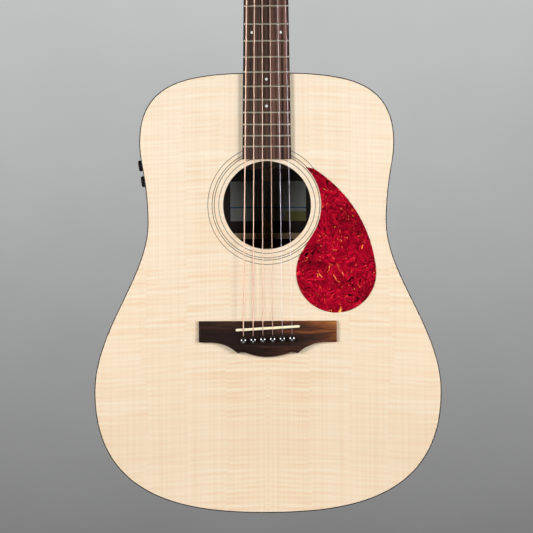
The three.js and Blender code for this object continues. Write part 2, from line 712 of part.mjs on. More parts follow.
const heelDepth = depthAtNeck - 3.2;
function makeNeck() {
  const shaftDepth = (y) => 14.5 + (3 * Math.max(y, 0)) / bodyTop;
  const shaftEnd = bodyTop - glueGap;
  const shaft = halfRoundBar(-14, shaftEnd, 10, (y) => halfBoardWidth(Math.max(y, 0)), shaftDepth);
  // The heel is a half-round bar that runs into the body's depth, round side to the nut.
  const fall = (z) => Math.max(0, (heelDepth - z) / heelDepth);
  const heelHalfWidth = (z) => 12 + 14.2 * Math.sqrt(fall(z));
  const heelReach = (z) => 21 + 10 * fall(z) + 46 * fall(z) ** 6;
  const heelBar = halfRoundBar(2, heelDepth, 8, heelHalfWidth, heelReach, 0.95, 10);
  const heel = reshape(heelBar, (v) => v.set(v.x, shaftEnd - v.z, v.y));
  const head = slab(headstockShape(5), headPlateThickness, headThickness, 5);
  const shaving = box(-60, 60, -60, 0, -20, headPlateThickness).applyMatrix4(headstock.matrix);
  const holes = postHoles(4.8, -1, 20).map((hole) => hole.applyMatrix4(headstock.matrix));
  const channel = trussChannel(trussRod.start - glueGap, bodyTop + 5, -1);
  const neck = cut(join(shaft, heel, head.applyMatrix4(headstock.matrix)), shaving, channel, ...holes);
  addPiece(plan, "neck", neck, materials.mahogany);
  makeHeelCap(heelHalfWidth(heelDepth), heelReach(heelDepth), shaftEnd);
  const plate = slab(headstockShape(0), 0, headPlateThickness - 0.01, 5);
  addPiece(headstock, "headstock_plate", cut(plate, ...postHoles(4.8, -2, 3)), materials.rosewood);
}

function makeHeelCap(halfWidth, reach, endY) {
  const shape = new THREE.Shape();
  shape.moveTo(halfWidth, endY).lineTo(-halfWidth, endY);
  for (let i = 1; i < 10; i++) {
    const angle = (Math.PI * i) / 10;
    shape.lineTo(-halfWidth * Math.cos(angle), endY - reach * Math.sin(angle));
  }
  addPiece(plan, "heel_cap", slab(shape, heelDepth, heelDepth + 2.2), materials.rosewood);
}

const crownSteps = 4;
const boardTopAt = (x) => boardThickness - (x * x) / (2 * boardRadius);
function makeFretboard() {
  const section = new THREE.Shape();
  section.moveTo(-1, 0).lineTo(1, 0);
  for (let i = 0; i <= crownSteps; i++) section.lineTo(1 - (2 * i) / crownSteps, 1);
  const settings = { depth: boardEnd, bevelEnabled: false };
  const board = reshape(new THREE.ExtrudeGeometry(section, settings), (v) => {
    const x = v.x * halfBoardWidth(v.z);
    v.set(x, v.z, v.y > 0.5 ? -boardTopAt(x) : 0);
  });
  const slots = [];
  for (let n = 1; n <= fretCount; n++) {
    const y = distanceToFret(n);
    slots.push(box(-40, 40, y - 0.6, y + 0.6, -10, -boardThickness + 2.4));
  }
  const groove = box(-1.2, 1.2, 20, boardEnd - 6, -boardThickness + 1.6, 1);
  const wood = cut(board, ...slots, groove);
  addPiece(plan, "fretboard", wood, materials.rosewood);
  addPiece(plan, "frets", fretSet(), materials.fretWire);
}

// Twenty frets, each a crown and a tang that sits in its slot. A strip hidden in the groove under
// the board holds their tangs together, so that the set is one piece.
function fretSet() {
  const crownWidth = 2.3;
  const tangHalf = 0.3;
  const pieces = [];
  for (let n = 1; n <= fretCount; n++) {
    const y = distanceToFret(n);
    const half = halfBoardWidth(y) - 0.4;
    const section = new THREE.Shape();
    section.moveTo(-crownWidth / 2, 0).lineTo(crownWidth / 2, 0).lineTo(0.6, 1).lineTo(-0.6, 1);
    const settings = { depth: 2 * half, steps: crownSteps, bevelEnabled: false };
    const bar = new THREE.ExtrudeGeometry(section, settings).translate(0, 0, -half);
    const crown = reshape(bar, (v) => v.set(v.z, y + v.x, -boardTopAt(v.z) - 0.1 - v.y * fretHeight));
    const tangTop = -boardTopAt(half) - 0.3;
    const tang = box(-half + 1, half - 1, y - tangHalf, y + tangHalf, tangTop, -boardThickness + 2.1);
    pieces.push(crown, tang);
  }
  const first = distanceToFret(1) - tangHalf;
  const last = distanceToFret(fretCount) + tangHalf;
  return join(box(-0.8, 0.8, first, last, -boardThickness + 1.95, -boardThickness + 3.2), ...pieces);
}

function makeNut() {
  const block = box(-nutWidth / 2, nutWidth / 2, -nutThickness, -0.05, -nutTop - 1.1, 0);
  const slots = strings.map(({ diameter }, i) => {
    const x = acrossStrings(i, stringSpread.nut);
    const half = diameter / 2 + glueGap;
    return box(x - half, x + half, -nutThickness - 1, 1, -nutTop - 3, -nutTop + glueGap);
  });
  addPiece(plan, "nut", cut(block, ...slots), materials.bone);
}

// ---------------------------------------------------------------- tuners

// Bass side from the nut up: low E, A, D. Treble side from the nut up: high E, B, G.
const tuners = strings.map(({ name }, i) => {
  const side = i < 3 ? -1 : 1;
  return { name, side, x: side * postX, y: postY[i < 3 ? i : 5 - i] };
});

const worm = { y: 9.6, z: headThickness + 4.2, radius: 2.9 };
const gear = { radius: 6.2, teeth: 14, z0: headThickness + 2.3, z1: headThickness + 6.1 };

// The cast housing is a hollow box behind the headstock, with the sleeve that the post turns in.
function tunerHousing() {
  const back = headThickness + 9.3;
  const shell = slab(roundedRectangle(17, 23.5, 3), headThickness, back, 2).translate(0, 2.6, 0);
  const hollow = box(-7, 7, -7.6, 12.9, headThickness + 1, back - 1.5);
  const shaftHole = rod(0, 0, 2.7, 0, 20, 10).rotateY(Math.PI / 2).translate(0, worm.y, worm.z);
  const sleeve = rod(0, 0, 4.5, -2.6, headThickness + 1, 10);
  const bore = rod(0, 0, postRadius + glueGap, -5, headThickness + 3, 10);
  return cut(join(shell, sleeve), hollow, shaftHole, bore);
}

// The string post has a waist where the string winds, a cross hole, and the toothed wheel inside.
function tunerPost() {
  const profile = [
    [0, -14.5], [2.4, -14.5], [3, -13.9], [3, -10], [2.5, -9], [2.5, -4.5], [3, -3.5],
    [3, gear.z1 + 0.8], [0, gear.z1 + 0.8],
  ];
  const crossHole = rod(0, 0, 0.9, -5, 5, 6).rotateX(Math.PI / 2).translate(0, 0, -7);
  const wheel = new THREE.Shape();
  for (let i = 0; i < 2 * gear.teeth; i++) {
    const angle = (Math.PI * (i + 0.5)) / gear.teeth;
    const radius = i % 2 ? gear.radius : gear.radius - 1.1;
    const corner = [radius * Math.cos(angle), radius * Math.sin(angle)];
    if (i === 0) wheel.moveTo(...corner);
    else wheel.lineTo(...corner);
  }
  return join(cut(turned(profile, 10), crossHole), slab(wheel, gear.z0, gear.z1));
}

// The button turns about its own z axis, which points out of the headstock's side.
function tunerButton() {
  const stem = turned([
    [0, -6], [worm.radius, -6], [worm.radius, 5.6], [2.3, 5.6], [2.3, 12.6], [3.4, 13.4], [3.4, 15], [0, 15],
  ], 10);
  const outline = new THREE.Shape();
  outline.moveTo(-4.6, 14).lineTo(4.6, 14);
  outline.quadraticCurveTo(9.8, 16, 9.3, 22.5);
  outline.quadraticCurveTo(8.6, 29, 0, 29.4);
  outline.quadraticCurveTo(-8.6, 29, -9.3, 22.5);
  outline.quadraticCurveTo(-9.8, 16, -4.6, 14);
  const settings = { depth: 4.2, bevelEnabled: true, bevelThickness: 1.6, bevelSize: 1.4, bevelOffset: -1.4,
    bevelSegments: 1, curveSegments: 3 };
  const grip = new THREE.ExtrudeGeometry(outline, settings).translate(0, 0, -2.1).rotateX(Math.PI / 2);
  return join(stem, grip);
}

function makeTuners() {
  const geometry = { housing: tunerHousing(), post: tunerPost(), button: tunerButton() };
  for (const { name, side, x, y } of tuners) {
    const place = new THREE.Group();
    place.position.set(x, y, 0);
    headstock.add(place);
    const housing = reshape(geometry.housing.clone(), (v) => v.setX(side * v.x));
    addPiece(place, `tuner_housing_${name}`, housing, materials.chrome);
    addPiece(place, `tuner_post_${name}`, geometry.post, materials.chrome);
    const button = addPiece(place, `tuner_button_${name}`, geometry.button, materials.chrome);
    button.position.set(0, worm.y, worm.z);
    button.rotation.y = side * 90 * degrees;
  }
}

// ---------------------------------------------------------------- strings

// Each string comes from its ball under the bridge plate, up beside its pin, over the saddle and
// the nut, and ends where it meets its post.
function makeStrings() {
  strings.forEach(({ name, diameter, wound }, i) => {
    const radius = diameter / 2;
    const pin = pinPlace(i);
    const rise = pin.y - 2.75 - radius;
    const saddleX = acrossStrings(i, stringSpread.saddle);
    const nutX = acrossStrings(i, stringSpread.nut);
    const overSaddle = -saddleTopAt(saddleX) - radius - 0.15;
    const saddle = new THREE.Vector3(saddleX, saddleY - saddleX * Math.tan(saddleSlant), overSaddle);
    const overNut = -nutTop - radius;
    const { side, x, y } = tuners[i];
    const end = fromHeadstock(x - side * (postRadius + glueGap + radius), y, -6.5);
    const points = [
      new THREE.Vector3(pin.x, pin.y - 4.4, 7.4),
      new THREE.Vector3(pin.x, rise, 5),
      new THREE.Vector3(pin.x, rise, -7),
      new THREE.Vector3(pin.x, rise - 0.35, -8.1),
      new THREE.Vector3(pin.x, rise - 1.3, -8.8),
      saddle,
      new THREE.Vector3(nutX, -0.5, overNut),
      new THREE.Vector3(nutX, -nutThickness - 0.3, overNut),
      end,
    ];
    const ball = new THREE.SphereGeometry(1.8, 6, 4).translate(pin.x, pin.y - 4.5, 7.4);
    const material = wound ? materials.bronzeString : materials.steelString;
    addPiece(plan, `string_${name}`, join(wire(points, radius), ball), material);
  });
}

makeSoundboard();
makePickguard();
makeBridge();
makeBridgePins();
makeSides();
makeBindings();
makeLinings();
makeBlocks();
makeBack();
makeTopBracing();
makeBackBracing();
makeEndpinJack();
makePreamp();
makeTrussRod();
makeNeck();
makeFretboard();
makeNut();
makeTuners();
makeStrings();

export default guitar;
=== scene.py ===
# The looks of a steel-string acoustic guitar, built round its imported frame.
#
# Pieces are drawn in millimetres in the maker's plan view, as the frame was: x across the strings
# (treble positive), y down the strings from the nut, z into the body, with z = 0 on the soundboard's
# face. A plan point (x, y, z) goes to (x, z, -y) in the row frame, in metres. A shape is a pair of
# points and faces.
import json
import math

import bmesh
import bpy
import numpy as np
from mathutils import Matrix, Vector
from mathutils.geometry import delaunay_2d_cdt


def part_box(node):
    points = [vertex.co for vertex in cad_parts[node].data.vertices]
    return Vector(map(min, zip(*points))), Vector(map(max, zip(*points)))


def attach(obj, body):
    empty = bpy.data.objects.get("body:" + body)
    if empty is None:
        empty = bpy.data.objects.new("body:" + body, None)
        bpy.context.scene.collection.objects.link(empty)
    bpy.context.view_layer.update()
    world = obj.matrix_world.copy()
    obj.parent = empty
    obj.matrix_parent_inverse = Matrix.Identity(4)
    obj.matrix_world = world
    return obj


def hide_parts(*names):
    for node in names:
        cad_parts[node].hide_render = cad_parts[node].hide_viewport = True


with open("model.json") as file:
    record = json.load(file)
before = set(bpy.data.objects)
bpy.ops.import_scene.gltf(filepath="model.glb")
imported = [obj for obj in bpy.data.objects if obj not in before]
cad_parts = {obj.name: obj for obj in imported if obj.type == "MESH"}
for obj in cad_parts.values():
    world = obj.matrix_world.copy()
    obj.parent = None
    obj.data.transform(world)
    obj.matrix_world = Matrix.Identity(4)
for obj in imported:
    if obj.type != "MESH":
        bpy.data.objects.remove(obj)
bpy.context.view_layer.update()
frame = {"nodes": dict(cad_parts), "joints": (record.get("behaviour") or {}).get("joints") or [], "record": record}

record = frame["record"]
joints = {joint["name"]: joint for joint in frame["joints"]}
body_of = {node: body for body, nodes in record["behaviour"]["bodies"].items() for node in nodes}

STRINGS = ("low_e", "a", "d", "g", "b", "high_e")
DIAMETERS = (1.35, 1.07, 0.81, 0.61, 0.41, 0.305)
TAU = 2 * math.pi


# ------------------------------------------------------------------ sizes, from the frame

def plan_box(node):
    """Lowest and highest corner of a CAD node, in plan millimetres."""
    low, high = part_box(node)
    return (np.array([low.x, -high.z, low.y]) * 1000, np.array([high.x, -low.z, high.y]) * 1000)


def to_plan(point):
    return np.array([point[0], -point[2], point[1]]) * 1000


BODY_TOP, BODY_BOTTOM = plan_box("top_binding")[0][1], plan_box("top_binding")[1][1]
BODY_LENGTH = BODY_BOTTOM - BODY_TOP
BODY_MIDDLE = (BODY_TOP + BODY_BOTTOM) / 2
BINDING_HEIGHT = plan_box("top_binding")[1][2]
BINDING_WIDTH = 1.0
BACK_BINDING_HEIGHT = 6
SIDE_START = 6.05  # depth of the sides' front edge, and the same from the back
TOP_THICKNESS = 2.8
SIDE_THICKNESS = 2.2
BACK_THICKNESS = 2.6
DEPTH_AT_NECK, DEPTH_AT_TAIL = 100, 122
BACK_RADIUS = 4600

HOLE_Y = (plan_box("rosette")[0][1] + plan_box("rosette")[1][1]) / 2
HOLE_RADIUS = 50.2
RING_HALVES = {55.0: 0.34, 60.2: 0.38, 62.7: 0.38, 67.6: 0.34}  # half width of a rosette ring, by radius

SCALE_LENGTH = 648
FRETS = 20
DOTS = ((3, 0), (5, 0), (7, 0), (9, 0), (12, -16.2), (12, 16.2), (15, 0), (17, 0))  # fret and x
BOARD_END = plan_box("fretboard")[1][1]
BOARD_END_WIDTH = plan_box("fretboard")[1][0] * 2
NUT_WIDTH = plan_box("nut")[1][0] * 2
NUT_THICKNESS = -plan_box("nut")[0][1]
BOARD_THICKNESS = -plan_box("fretboard")[0][2]
CROWN_RADIUS = 400
NUT_TOP, SADDLE_TOP = 7.7, 11.3

BRIDGE_EDGE = plan_box("bridge")[0][1]
BRIDGE_HALF = plan_box("bridge")[1][0]
BRIDGE_HEIGHT = -plan_box("bridge")[0][2]
SADDLE_Y = (plan_box("saddle")[0][1] + plan_box("saddle")[1][1]) / 2
SADDLE_SLANT = math.radians(3.2)
SADDLE_LENGTH, SADDLE_THICKNESS = 73, 3
SPREAD_AT_NUT, SPREAD_AT_SADDLE = 35.8, 55.2

HEAD_TILT = math.radians(14)
HEAD_THICKNESS = 15
PLATE_THICKNESS = 1.5
HEAD_LENGTH = 171.5
HEAD_ARCH = 4.0  # how far the middle of the headstock's end stands past its corners
HEAD = Matrix.Translation((0, -NUT_THICKNESS, 0)) @ Matrix.Rotation(-HEAD_TILT, 4, "X")
HEEL_DEPTH = plan_box("heel_cap")[0][2]
HEEL_LENGTH, HEEL_CAP_HALF = 21, 12
SHAFT_END = BODY_TOP - 0.3

SOUNDBOARD_DISTANCE = 2.0  # from the camera
VIEW_WIDTH = 0.6076  # how much the picture takes in, at the soundboard
VIEW_CENTRE = (-0.0010, -0.5805)  # x and z
VIEW_ROLL = math.radians(-0.30)


def fret_distance(n):
    return SCALE_LENGTH * (1 - 2 ** (-n / 12))


def board_half(y):
    return (NUT_WIDTH + (BOARD_END_WIDTH - NUT_WIDTH) * y / BOARD_END) / 2


def crown(x):
    """How far a point of the fretboard's face lies below its middle."""
    return x * x / (2 * CROWN_RADIUS)


def back_depth(x, y):
    """Depth of the back's arched outer face."""
    along = y - BODY_MIDDLE
    flat = (DEPTH_AT_NECK + DEPTH_AT_TAIL) / 2 + along * (DEPTH_AT_TAIL - DEPTH_AT_NECK) / BODY_LENGTH
    return flat + ((BODY_LENGTH / 2) ** 2 - along ** 2 - x * x) / (2 * BACK_RADIUS)


def behind(offset):
    """A depth function: the back's outer face, moved forward by offset."""
    return lambda x, y: back_depth(x, y) - offset


def smooth_step(value, low, high):
    t = np.clip((value - low) / (high - low), 0, 1)
    return t * t * (3 - 2 * t)


# ------------------------------------------------------------------ building meshes

def make_piece(name, shape, material, at=None, soft_angle=40):
    """A mesh object from a plan shape moved by at; edges sharper than soft_angle degrees stay crisp."""
    points, faces = shape
    points = np.asarray(points, dtype=float) if at is None else place(points, at)
    rows = np.column_stack([points[:, 0], points[:, 2], -points[:, 1]]) / 1000
    mesh = bpy.data.meshes.new(name)
    mesh.from_pydata(rows.tolist(), [], faces)
    bm = bmesh.new()
    bm.from_mesh(mesh)
    bmesh.ops.remove_doubles(bm, verts=bm.verts, dist=2e-6)
    bmesh.ops.dissolve_degenerate(bm, edges=bm.edges, dist=1e-7)
    bmesh.ops.recalc_face_normals(bm, faces=bm.faces)
    for face in bm.faces:
        face.smooth = True
    for edge in bm.edges:
        edge.smooth = len(edge.link_faces) == 2 and edge.calc_face_angle(0) < math.radians(soft_angle)
    bm.to_mesh(mesh)
    bm.free()
    piece = bpy.data.objects.new(name, mesh)
    bpy.context.scene.collection.objects.link(piece)
    mesh.materials.append(material)
    return piece


def stand_for(piece, node):
    """The piece takes the place and body of a CAD node, which is hidden."""
    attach(piece, body_of[node])
    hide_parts(node)


def add_detail(piece, body):
    """The piece is a fine part that the frame leaves out."""
    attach(piece, body)


def loft(rings, loop=False):
    """A skin over rings of equal length, capped unless it is a loop."""
    rings = np.asarray(rings, dtype=float)
    count, size = rings.shape[:2]
    faces = []
    for i in range(count if loop else count - 1):
        after = (i + 1) % count
        for j in range(size):
            k = (j + 1) % size
            faces.append((i * size + j, i * size + k, after * size + k, after * size + j))
    if not loop:
        faces.append(tuple(range(size)))
        faces.append(tuple((count - 1) * size + j for j in range(size)))
    return rings.reshape(-1, 3), faces


def join_shapes(shapes):
    points, faces, start = [], [], 0
    for part_points, part_faces in shapes:
        points.append(part_points)
        faces += [tuple(start + i for i in face) for face in part_faces]
        start += len(part_points)
    return np.vstack(points), faces


def place(points, matrix):
    """Points moved by a 4x4 matrix in plan millimetres."""
    points = np.asarray(points, dtype=float)
    matrix = np.array(matrix)
    return points @ matrix[:3, :3].T + matrix[:3, 3]


def frame_along(origin, axis, across=(0, 1, 0)):
    """A plan matrix with its z axis along axis and its y axis as near to across as it can be."""
    z = Vector(axis).normalized()
    x = Vector(across).cross(z).normalized()
    y = z.cross(x)
    matrix = Matrix((x, y, z)).transposed().to_4x4()
    matrix.translation = Vector(origin)
    return matrix


def joint_frame(name):
    """The plan matrix of a hinge: its origin on the hinge, its z axis along the hinge's axis."""
    return frame_along(to_plan(joints[name]["pos_m"]), to_plan(joints[name]["axis"]))


def turned(profile, sides=32, flutes=0, flute_depth=0.0, loop=False):
    """A shape turned about z from (radius, z) pairs. Flutes are scalloped into all its radii."""
    angles = np.arange(sides) * TAU / sides
    swell = 1 - flute_depth * (0.5 + 0.5 * np.cos(angles * flutes)) if flutes else np.ones(sides)
    rings = [np.column_stack([r * swell * np.cos(angles), r * swell * np.sin(angles), np.full(sides, z)])
             for r, z in profile]
    return loft(rings, loop)


def tube(path, radius, sides=12):
    """A round bar along a path, by parallel transport."""
    path = np.asarray(path, dtype=float)
    tangents = np.gradient(path, axis=0)
    tangents /= np.linalg.norm(tangents, axis=1)[:, None]
    side = np.cross(tangents[0], (0.31, 0.17, 0.93))
    angles = np.arange(sides) * TAU / sides
    rings = []
    for point, tangent in zip(path, tangents):
        side = side - tangent * side.dot(tangent)
        side /= np.linalg.norm(side)
        up = np.cross(tangent, side)
        rings.append(point + radius * (np.cos(angles)[:, None] * side + np.sin(angles)[:, None] * up))
    return loft(rings)


def rounded_path(points, reach, steps=5):
    """A path whose corners are rounded off over the given reach."""
    points = [np.asarray(p, dtype=float) for p in points]
    path = [points[0]]
    for before, corner, after in zip(points, points[1:], points[2:]):
        start = corner + (before - corner) * min(0.45, reach / np.linalg.norm(before - corner))
        end = corner + (after - corner) * min(0.45, reach / np.linalg.norm(after - corner))
        for t in np.linspace(0, 1, steps):
            path.append((1 - t) ** 2 * start + 2 * t * (1 - t) * corner + t * t * end)
    return path + [points[-1]]


def flat_plate(loops, z0, z1, edge=0.0, edge_steps=3):
    """A plate whose outline and holes are loops of (x, y), with rounded edges."""
    curve = bpy.data.curves.new("outline", "CURVE")
    curve.dimensions = "2D"
    curve.fill_mode = "BOTH"
    curve.extrude = (z1 - z0) / 2 - edge
    curve.bevel_depth = edge
    curve.bevel_resolution = edge_steps
    curve.offset = -edge
    for loop in loops:
        spline = curve.splines.new("POLY")
        spline.points.add(len(loop) - 1)
        for point, (x, y) in zip(spline.points, loop):
            point.co = (x, y, 0, 1)
        spline.use_cyclic_u = True
    holder = bpy.data.objects.new("outline", curve)
    bpy.context.scene.collection.objects.link(holder)
    evaluated = holder.evaluated_get(bpy.context.evaluated_depsgraph_get())
    mesh = bpy.data.meshes.new_from_object(evaluated)
    points = np.array([vertex.co[:] for vertex in mesh.vertices])
    faces = [tuple(polygon.vertices) for polygon in mesh.polygons]
    bpy.data.objects.remove(holder)
    bpy.data.curves.remove(curve)
    bpy.data.meshes.remove(mesh)
    points[:, 2] += (z0 + z1) / 2
    return points, faces


def circle(x, y, radius, count=64):
    angles = np.arange(count) * TAU / count
    return np.column_stack([x + radius * np.cos(angles), y + radius * np.sin(angles)])


def arc(x, y, radius, start, end, count):
    angles = np.linspace(start, end, count)
    return np.column_stack([x + radius * np.cos(angles), y + radius * np.sin(angles)])


def without_repeats(points, least=0.02):
    points = np.asarray(points)
    gap = np.linalg.norm(points - np.roll(points, 1, axis=0), axis=1)
    return points[gap > least]


# ------------------------------------------------------------------ nodes

class Nodes:
    """Shader nodes in one tree. An input is a value, or a socket to link from."""

    def __init__(self, tree):
        self.tree = tree

    def feed(self, socket, value):
        if isinstance(value, bpy.types.NodeSocket):
            self.tree.links.new(value, socket)
        else:
            socket.default_value = value

    def node(self, kind, inputs=None, **settings):
        node = self.tree.nodes.new("ShaderNode" + kind)
        for key, value in settings.items():
            setattr(node, key, value)
        for key, value in (inputs or {}).items():
            self.feed(node.inputs[key], value)
        return node

    def math(self, operation, a, b=0.0):
        return self.node("Math", {0: a, 1: b}, operation=operation).outputs[0]

    def vector(self, operation, a, b):
        return self.node("VectorMath", {0: a, 1: b}, operation=operation).outputs[0]

    def remap(self, value, low=0.0, high=1.0, to_low=0.0, to_high=1.0):
        ends = {"From Min": low, "From Max": high, "To Min": to_low, "To Max": to_high}
        return self.node("MapRange", {"Value": value, **ends}).outputs[0]

    def ramp(self, factor, *stops):
        """A colour ramp from (position, colour) stops; a colour may be one grey number."""
        node = self.node("ValToRGB", {"Fac": factor})
        elements = node.color_ramp.elements
        while len(elements) < len(stops):
            elements.new(0.5)
        for element, (position, colour) in zip(elements, stops):
            element.position = position
            rgb = (colour,) * 3 if isinstance(colour, (int, float)) else colour
            element.color = (*rgb, 1)
        return node.outputs["Color"]

    def mix(self, factor, a, b, blend="MIX"):
        """A colour mix; the sockets are taken by number, because its other types share their names."""
        node = self.node("Mix", data_type="RGBA", blend_type=blend)
        for number, value in ((0, factor), (6, a), (7, b)):
            self.feed(node.inputs[number], (*value, 1) if isinstance(value, tuple) else value)
        return node.outputs[2]

    def times(self, a, b, share=1.0):
        return self.mix(share, a, b, "MULTIPLY")


class Look(Nodes):
    """A material: its nodes, its shader, and the place in metres that its patterns are read at."""

    def __init__(self, name, mirrored=False, bent=False, **surface):
        self.material = bpy.data.materials.new(name)
        self.material.use_nodes = True
        super().__init__(self.material.node_tree)
        self.shader = self.tree.nodes["Principled BSDF"]
        for key, value in surface.items():
            self.shader.inputs[key.replace("_", " ")].default_value = value
        if bent:
            self.place = self.node("Attribute", attribute_name="way_round").outputs["Vector"]
        else:
            self.place = self.node("TexCoord").outputs["Object"]
        if mirrored:  # folded about the centre line, as a bookmatched plate is
            x, y, z = self.axes()
            self.place = self.node("CombineXYZ", {0: self.math("ABSOLUTE", x), 1: y, 2: z}).outputs[0]

    def axes(self):
        return self.node("SeparateXYZ", {0: self.place}).outputs

    def noise(self, scale, detail=3.0, roughness=0.55, distortion=0.0, shift=(0, 0, 0), at=None):
        """Noise stretched by a scale for each axis, in features a metre."""
        mapped = self.node("Mapping", {"Vector": self.place if at is None else at, "Scale": scale,
                                       "Location": shift})
        return self.node("TexNoise", {"Vector": mapped.outputs[0], "Scale": 1.0, "Detail": detail,
                                      "Roughness": roughness, "Distortion": distortion}).outputs["Fac"]

    def colour(self, value):
        self.feed(self.shader.inputs["Base Color"], value)

    def roughness(self, factor, low, high):
        self.feed(self.shader.inputs["Roughness"], self.remap(factor, to_low=low, to_high=high))

    def bump(self, height, strength, distance):
        node = self.node("Bump", {"Strength": strength, "Distance": distance, "Height": height})
        self.feed(self.shader.inputs["Normal"], node.outputs[0])


# ------------------------------------------------------------------ materials

def cell_shift(look, value, width, reach):
    """A jump of up to reach, the same across each strip of the given width."""
    cell = look.math("SNAP", value, width)
    jump = look.node("TexWhiteNoise", {"W": cell}, noise_dimensions="1D").outputs["Value"]
    return look.remap(jump, to_low=-reach, to_high=reach)


def flamed_top():
    """Pale bookmatched softwood: fine upright grain crossed by broken silky bands, under clear lacquer."""
    look = Look("flamed_top", mirrored=True, Coat_Weight=0.25, Coat_Roughness=0.15, Specular_IOR_Level=0.3)
    x, _, z = look.axes()
    ragged = look.remap(look.noise((2, 2, 9), detail=2), to_low=-0.02, to_high=0.02)
    jump = cell_shift(look, look.math("ADD", x, ragged), 0.047, 0.03)
    lean = look.math("MULTIPLY", x, 0.055)
    leaning = look.math("ADD", look.math("ADD", z, jump), lean)
    warped = look.node("CombineXYZ", {0: x, 1: 0.0, 2: leaning}).outputs[0]
    soft = look.noise((9, 1, 210), detail=2.5, at=warped)
    squeezed = look.node("Mapping", {"Vector": warped, "Scale": (0.14, 1, 1)}).outputs[0]
    wave = look.node("TexWave", {"Vector": squeezed, "Scale": 57.0, "Distortion": 3.4, "Detail": 2.0,
                                 "Detail Scale": 1.3}, wave_type="BANDS", bands_direction="Z")
    bands = look.math("ADD", soft, look.remap(wave.outputs["Fac"], to_low=-0.08, to_high=0.08))
    figure = look.ramp(bands, (0.30, (0.842, 0.640, 0.440)), (0.44, (0.862, 0.700, 0.515)),
                       (0.56, (0.876, 0.745, 0.575)), (0.70, (0.896, 0.795, 0.645)))
    columns = look.noise((60, 1, 1.6), detail=4, roughness=0.78)
    plain = look.ramp(columns, (0.32, (0.862, 0.695, 0.515)), (0.50, (0.882, 0.748, 0.582)),
                      (0.68, (0.898, 0.782, 0.628)))
    strength = look.noise((16, 1, 7), detail=2, shift=(0, 0, 7))
    silk = look.mix(look.ramp(strength, (0.36, 0.40), (0.60, 0.95)), plain, figure)
    grain = look.noise((430, 1, 3), detail=2, roughness=0.5)
    lines = look.ramp(grain, (0.38, (0.975, 0.945, 0.905)), (0.56, 1.0))
    # Darker and warmer towards the tail: partly painted shade, for light that falls off lower down the body, and
    # partly the wood's own warmer tone.
    lower_shade_and_warmth = look.mix(look.remap(z, -0.45, -0.80), (1.0, 1.0, 1.0), (0.950, 0.905, 0.850))
    look.colour(look.times(look.times(silk, lines, 0.9), lower_shade_and_warmth))
    look.roughness(bands, 0.36, 0.46)
    look.bump(grain, 0.05, 0.0002)
    return look.material


def streaked_wood(name, colours, long_axis, across, along, gloss, coat=0.0, mirrored=False, bent=False,
                  seed=0):
    """Dark open-pored wood: broad streaks, fine fibres and short pores along one axis."""
    look = Look(name, mirrored, bent, Coat_Weight=coat, Coat_Roughness=0.08)

    def layer(fine, lengthwise, detail, roughness, distortion):
        scale = tuple(along * lengthwise if axis == long_axis else across * fine for axis in "XYZ")
        return look.noise(scale, detail, roughness, distortion, (seed * 3.1, seed * 1.7, seed * 2.3))

    streaks = layer(0.28, 0.6, 4, 0.6, 0.4)
    fibres = layer(2.6, 3, 3, 0.6, 0.0)
    pores = layer(7, 22, 1, 0.5, 0.0)
    base = look.ramp(streaks, *zip((0.34, 0.50, 0.66), colours))
    fine = look.ramp(fibres, (0.30, 0.62), (0.60, 1.12))
    pits = look.ramp(pores, (0.30, 0.45), (0.40, 1.0))
    look.colour(look.times(look.times(base, fine, 0.8), pits))
    look.roughness(fibres, gloss - 0.08, gloss + 0.12)
    look.bump(look.mix(0.6, fibres, pits), 0.18 if coat < 0.5 else 0.04, 0.0003)
    return look.material


def bridge_wood():
    """Bridge wood: grain runs across the strings, near black at the bass end, red-brown at the treble."""
    look = Look("bridge_wood", Specular_IOR_Level=0.04)
    x, _, z = look.axes()
    streaks = look.noise((13, 30, 170), detail=4, roughness=0.62, distortion=0.6)
    across = look.remap(x, -0.02, 0.085, -0.20, 0.34)
    edge_z = -BRIDGE_EDGE / 1000
    upwards = look.remap(z, edge_z - 0.018, edge_z, -0.10, 0.10)
    heart = look.math("ADD", streaks, look.math("ADD", across, upwards))
    base = look.ramp(heart, (0.32, (0.019, 0.010, 0.008)), (0.52, (0.046, 0.021, 0.015)),
                     (0.64, (0.105, 0.033, 0.016)), (0.78, (0.215, 0.072, 0.025)),
                     (0.94, (0.36, 0.140, 0.045)))
    fibres = look.noise((22, 500, 1100), detail=3, roughness=0.6)
    pores = look.noise((120, 900, 1900), detail=1)
    fine = look.ramp(fibres, (0.30, 0.62), (0.65, 1.30))
    pits = look.ramp(pores, (0.30, 0.55), (0.42, 1.0))
    look.colour(look.times(look.times(base, fine, 0.85), pits))
    look.roughness(fibres, 0.40, 0.58)
    look.bump(fibres, 0.15, 0.0003)
    return look.material


def fretboard_wood():
    """Dark fretboard wood: narrow streaks from near black to grey-brown, redder towards the treble side."""
    look = Look("fretboard_wood", Specular_IOR_Level=0.15)
    streaks = look.noise((310, 200, 2.2), detail=4, roughness=0.68)
    broad = look.noise((60, 60, 4), detail=2, shift=(0, 0, 3))
    base = look.ramp(streaks, (0.35, (0.012, 0.008, 0.007)), (0.45, (0.046, 0.026, 0.020)),
                     (0.55, (0.092, 0.050, 0.037)), (0.67, (0.155, 0.090, 0.066)))
    warmth = look.math("MULTIPLY", look.remap(look.axes()["X"], -0.012, 0.03), broad)
    tinted = look.times(base, (1.55, 0.85, 0.70), warmth)
    fibres = look.noise((1500, 700, 14), detail=3)
    pores = look.noise((3200, 1500, 120), detail=1, roughness=0.5)
    pits = look.ramp(pores, (0.32, 0.45), (0.44, 1.0))
    fine = look.ramp(fibres, (0.30, 0.72), (0.62, 1.20))
    look.colour(look.times(look.times(tinted, fine, 0.9), pits))
    look.roughness(fibres, 0.42, 0.60)
    look.bump(fibres, 0.12, 0.0003)
    return look.material


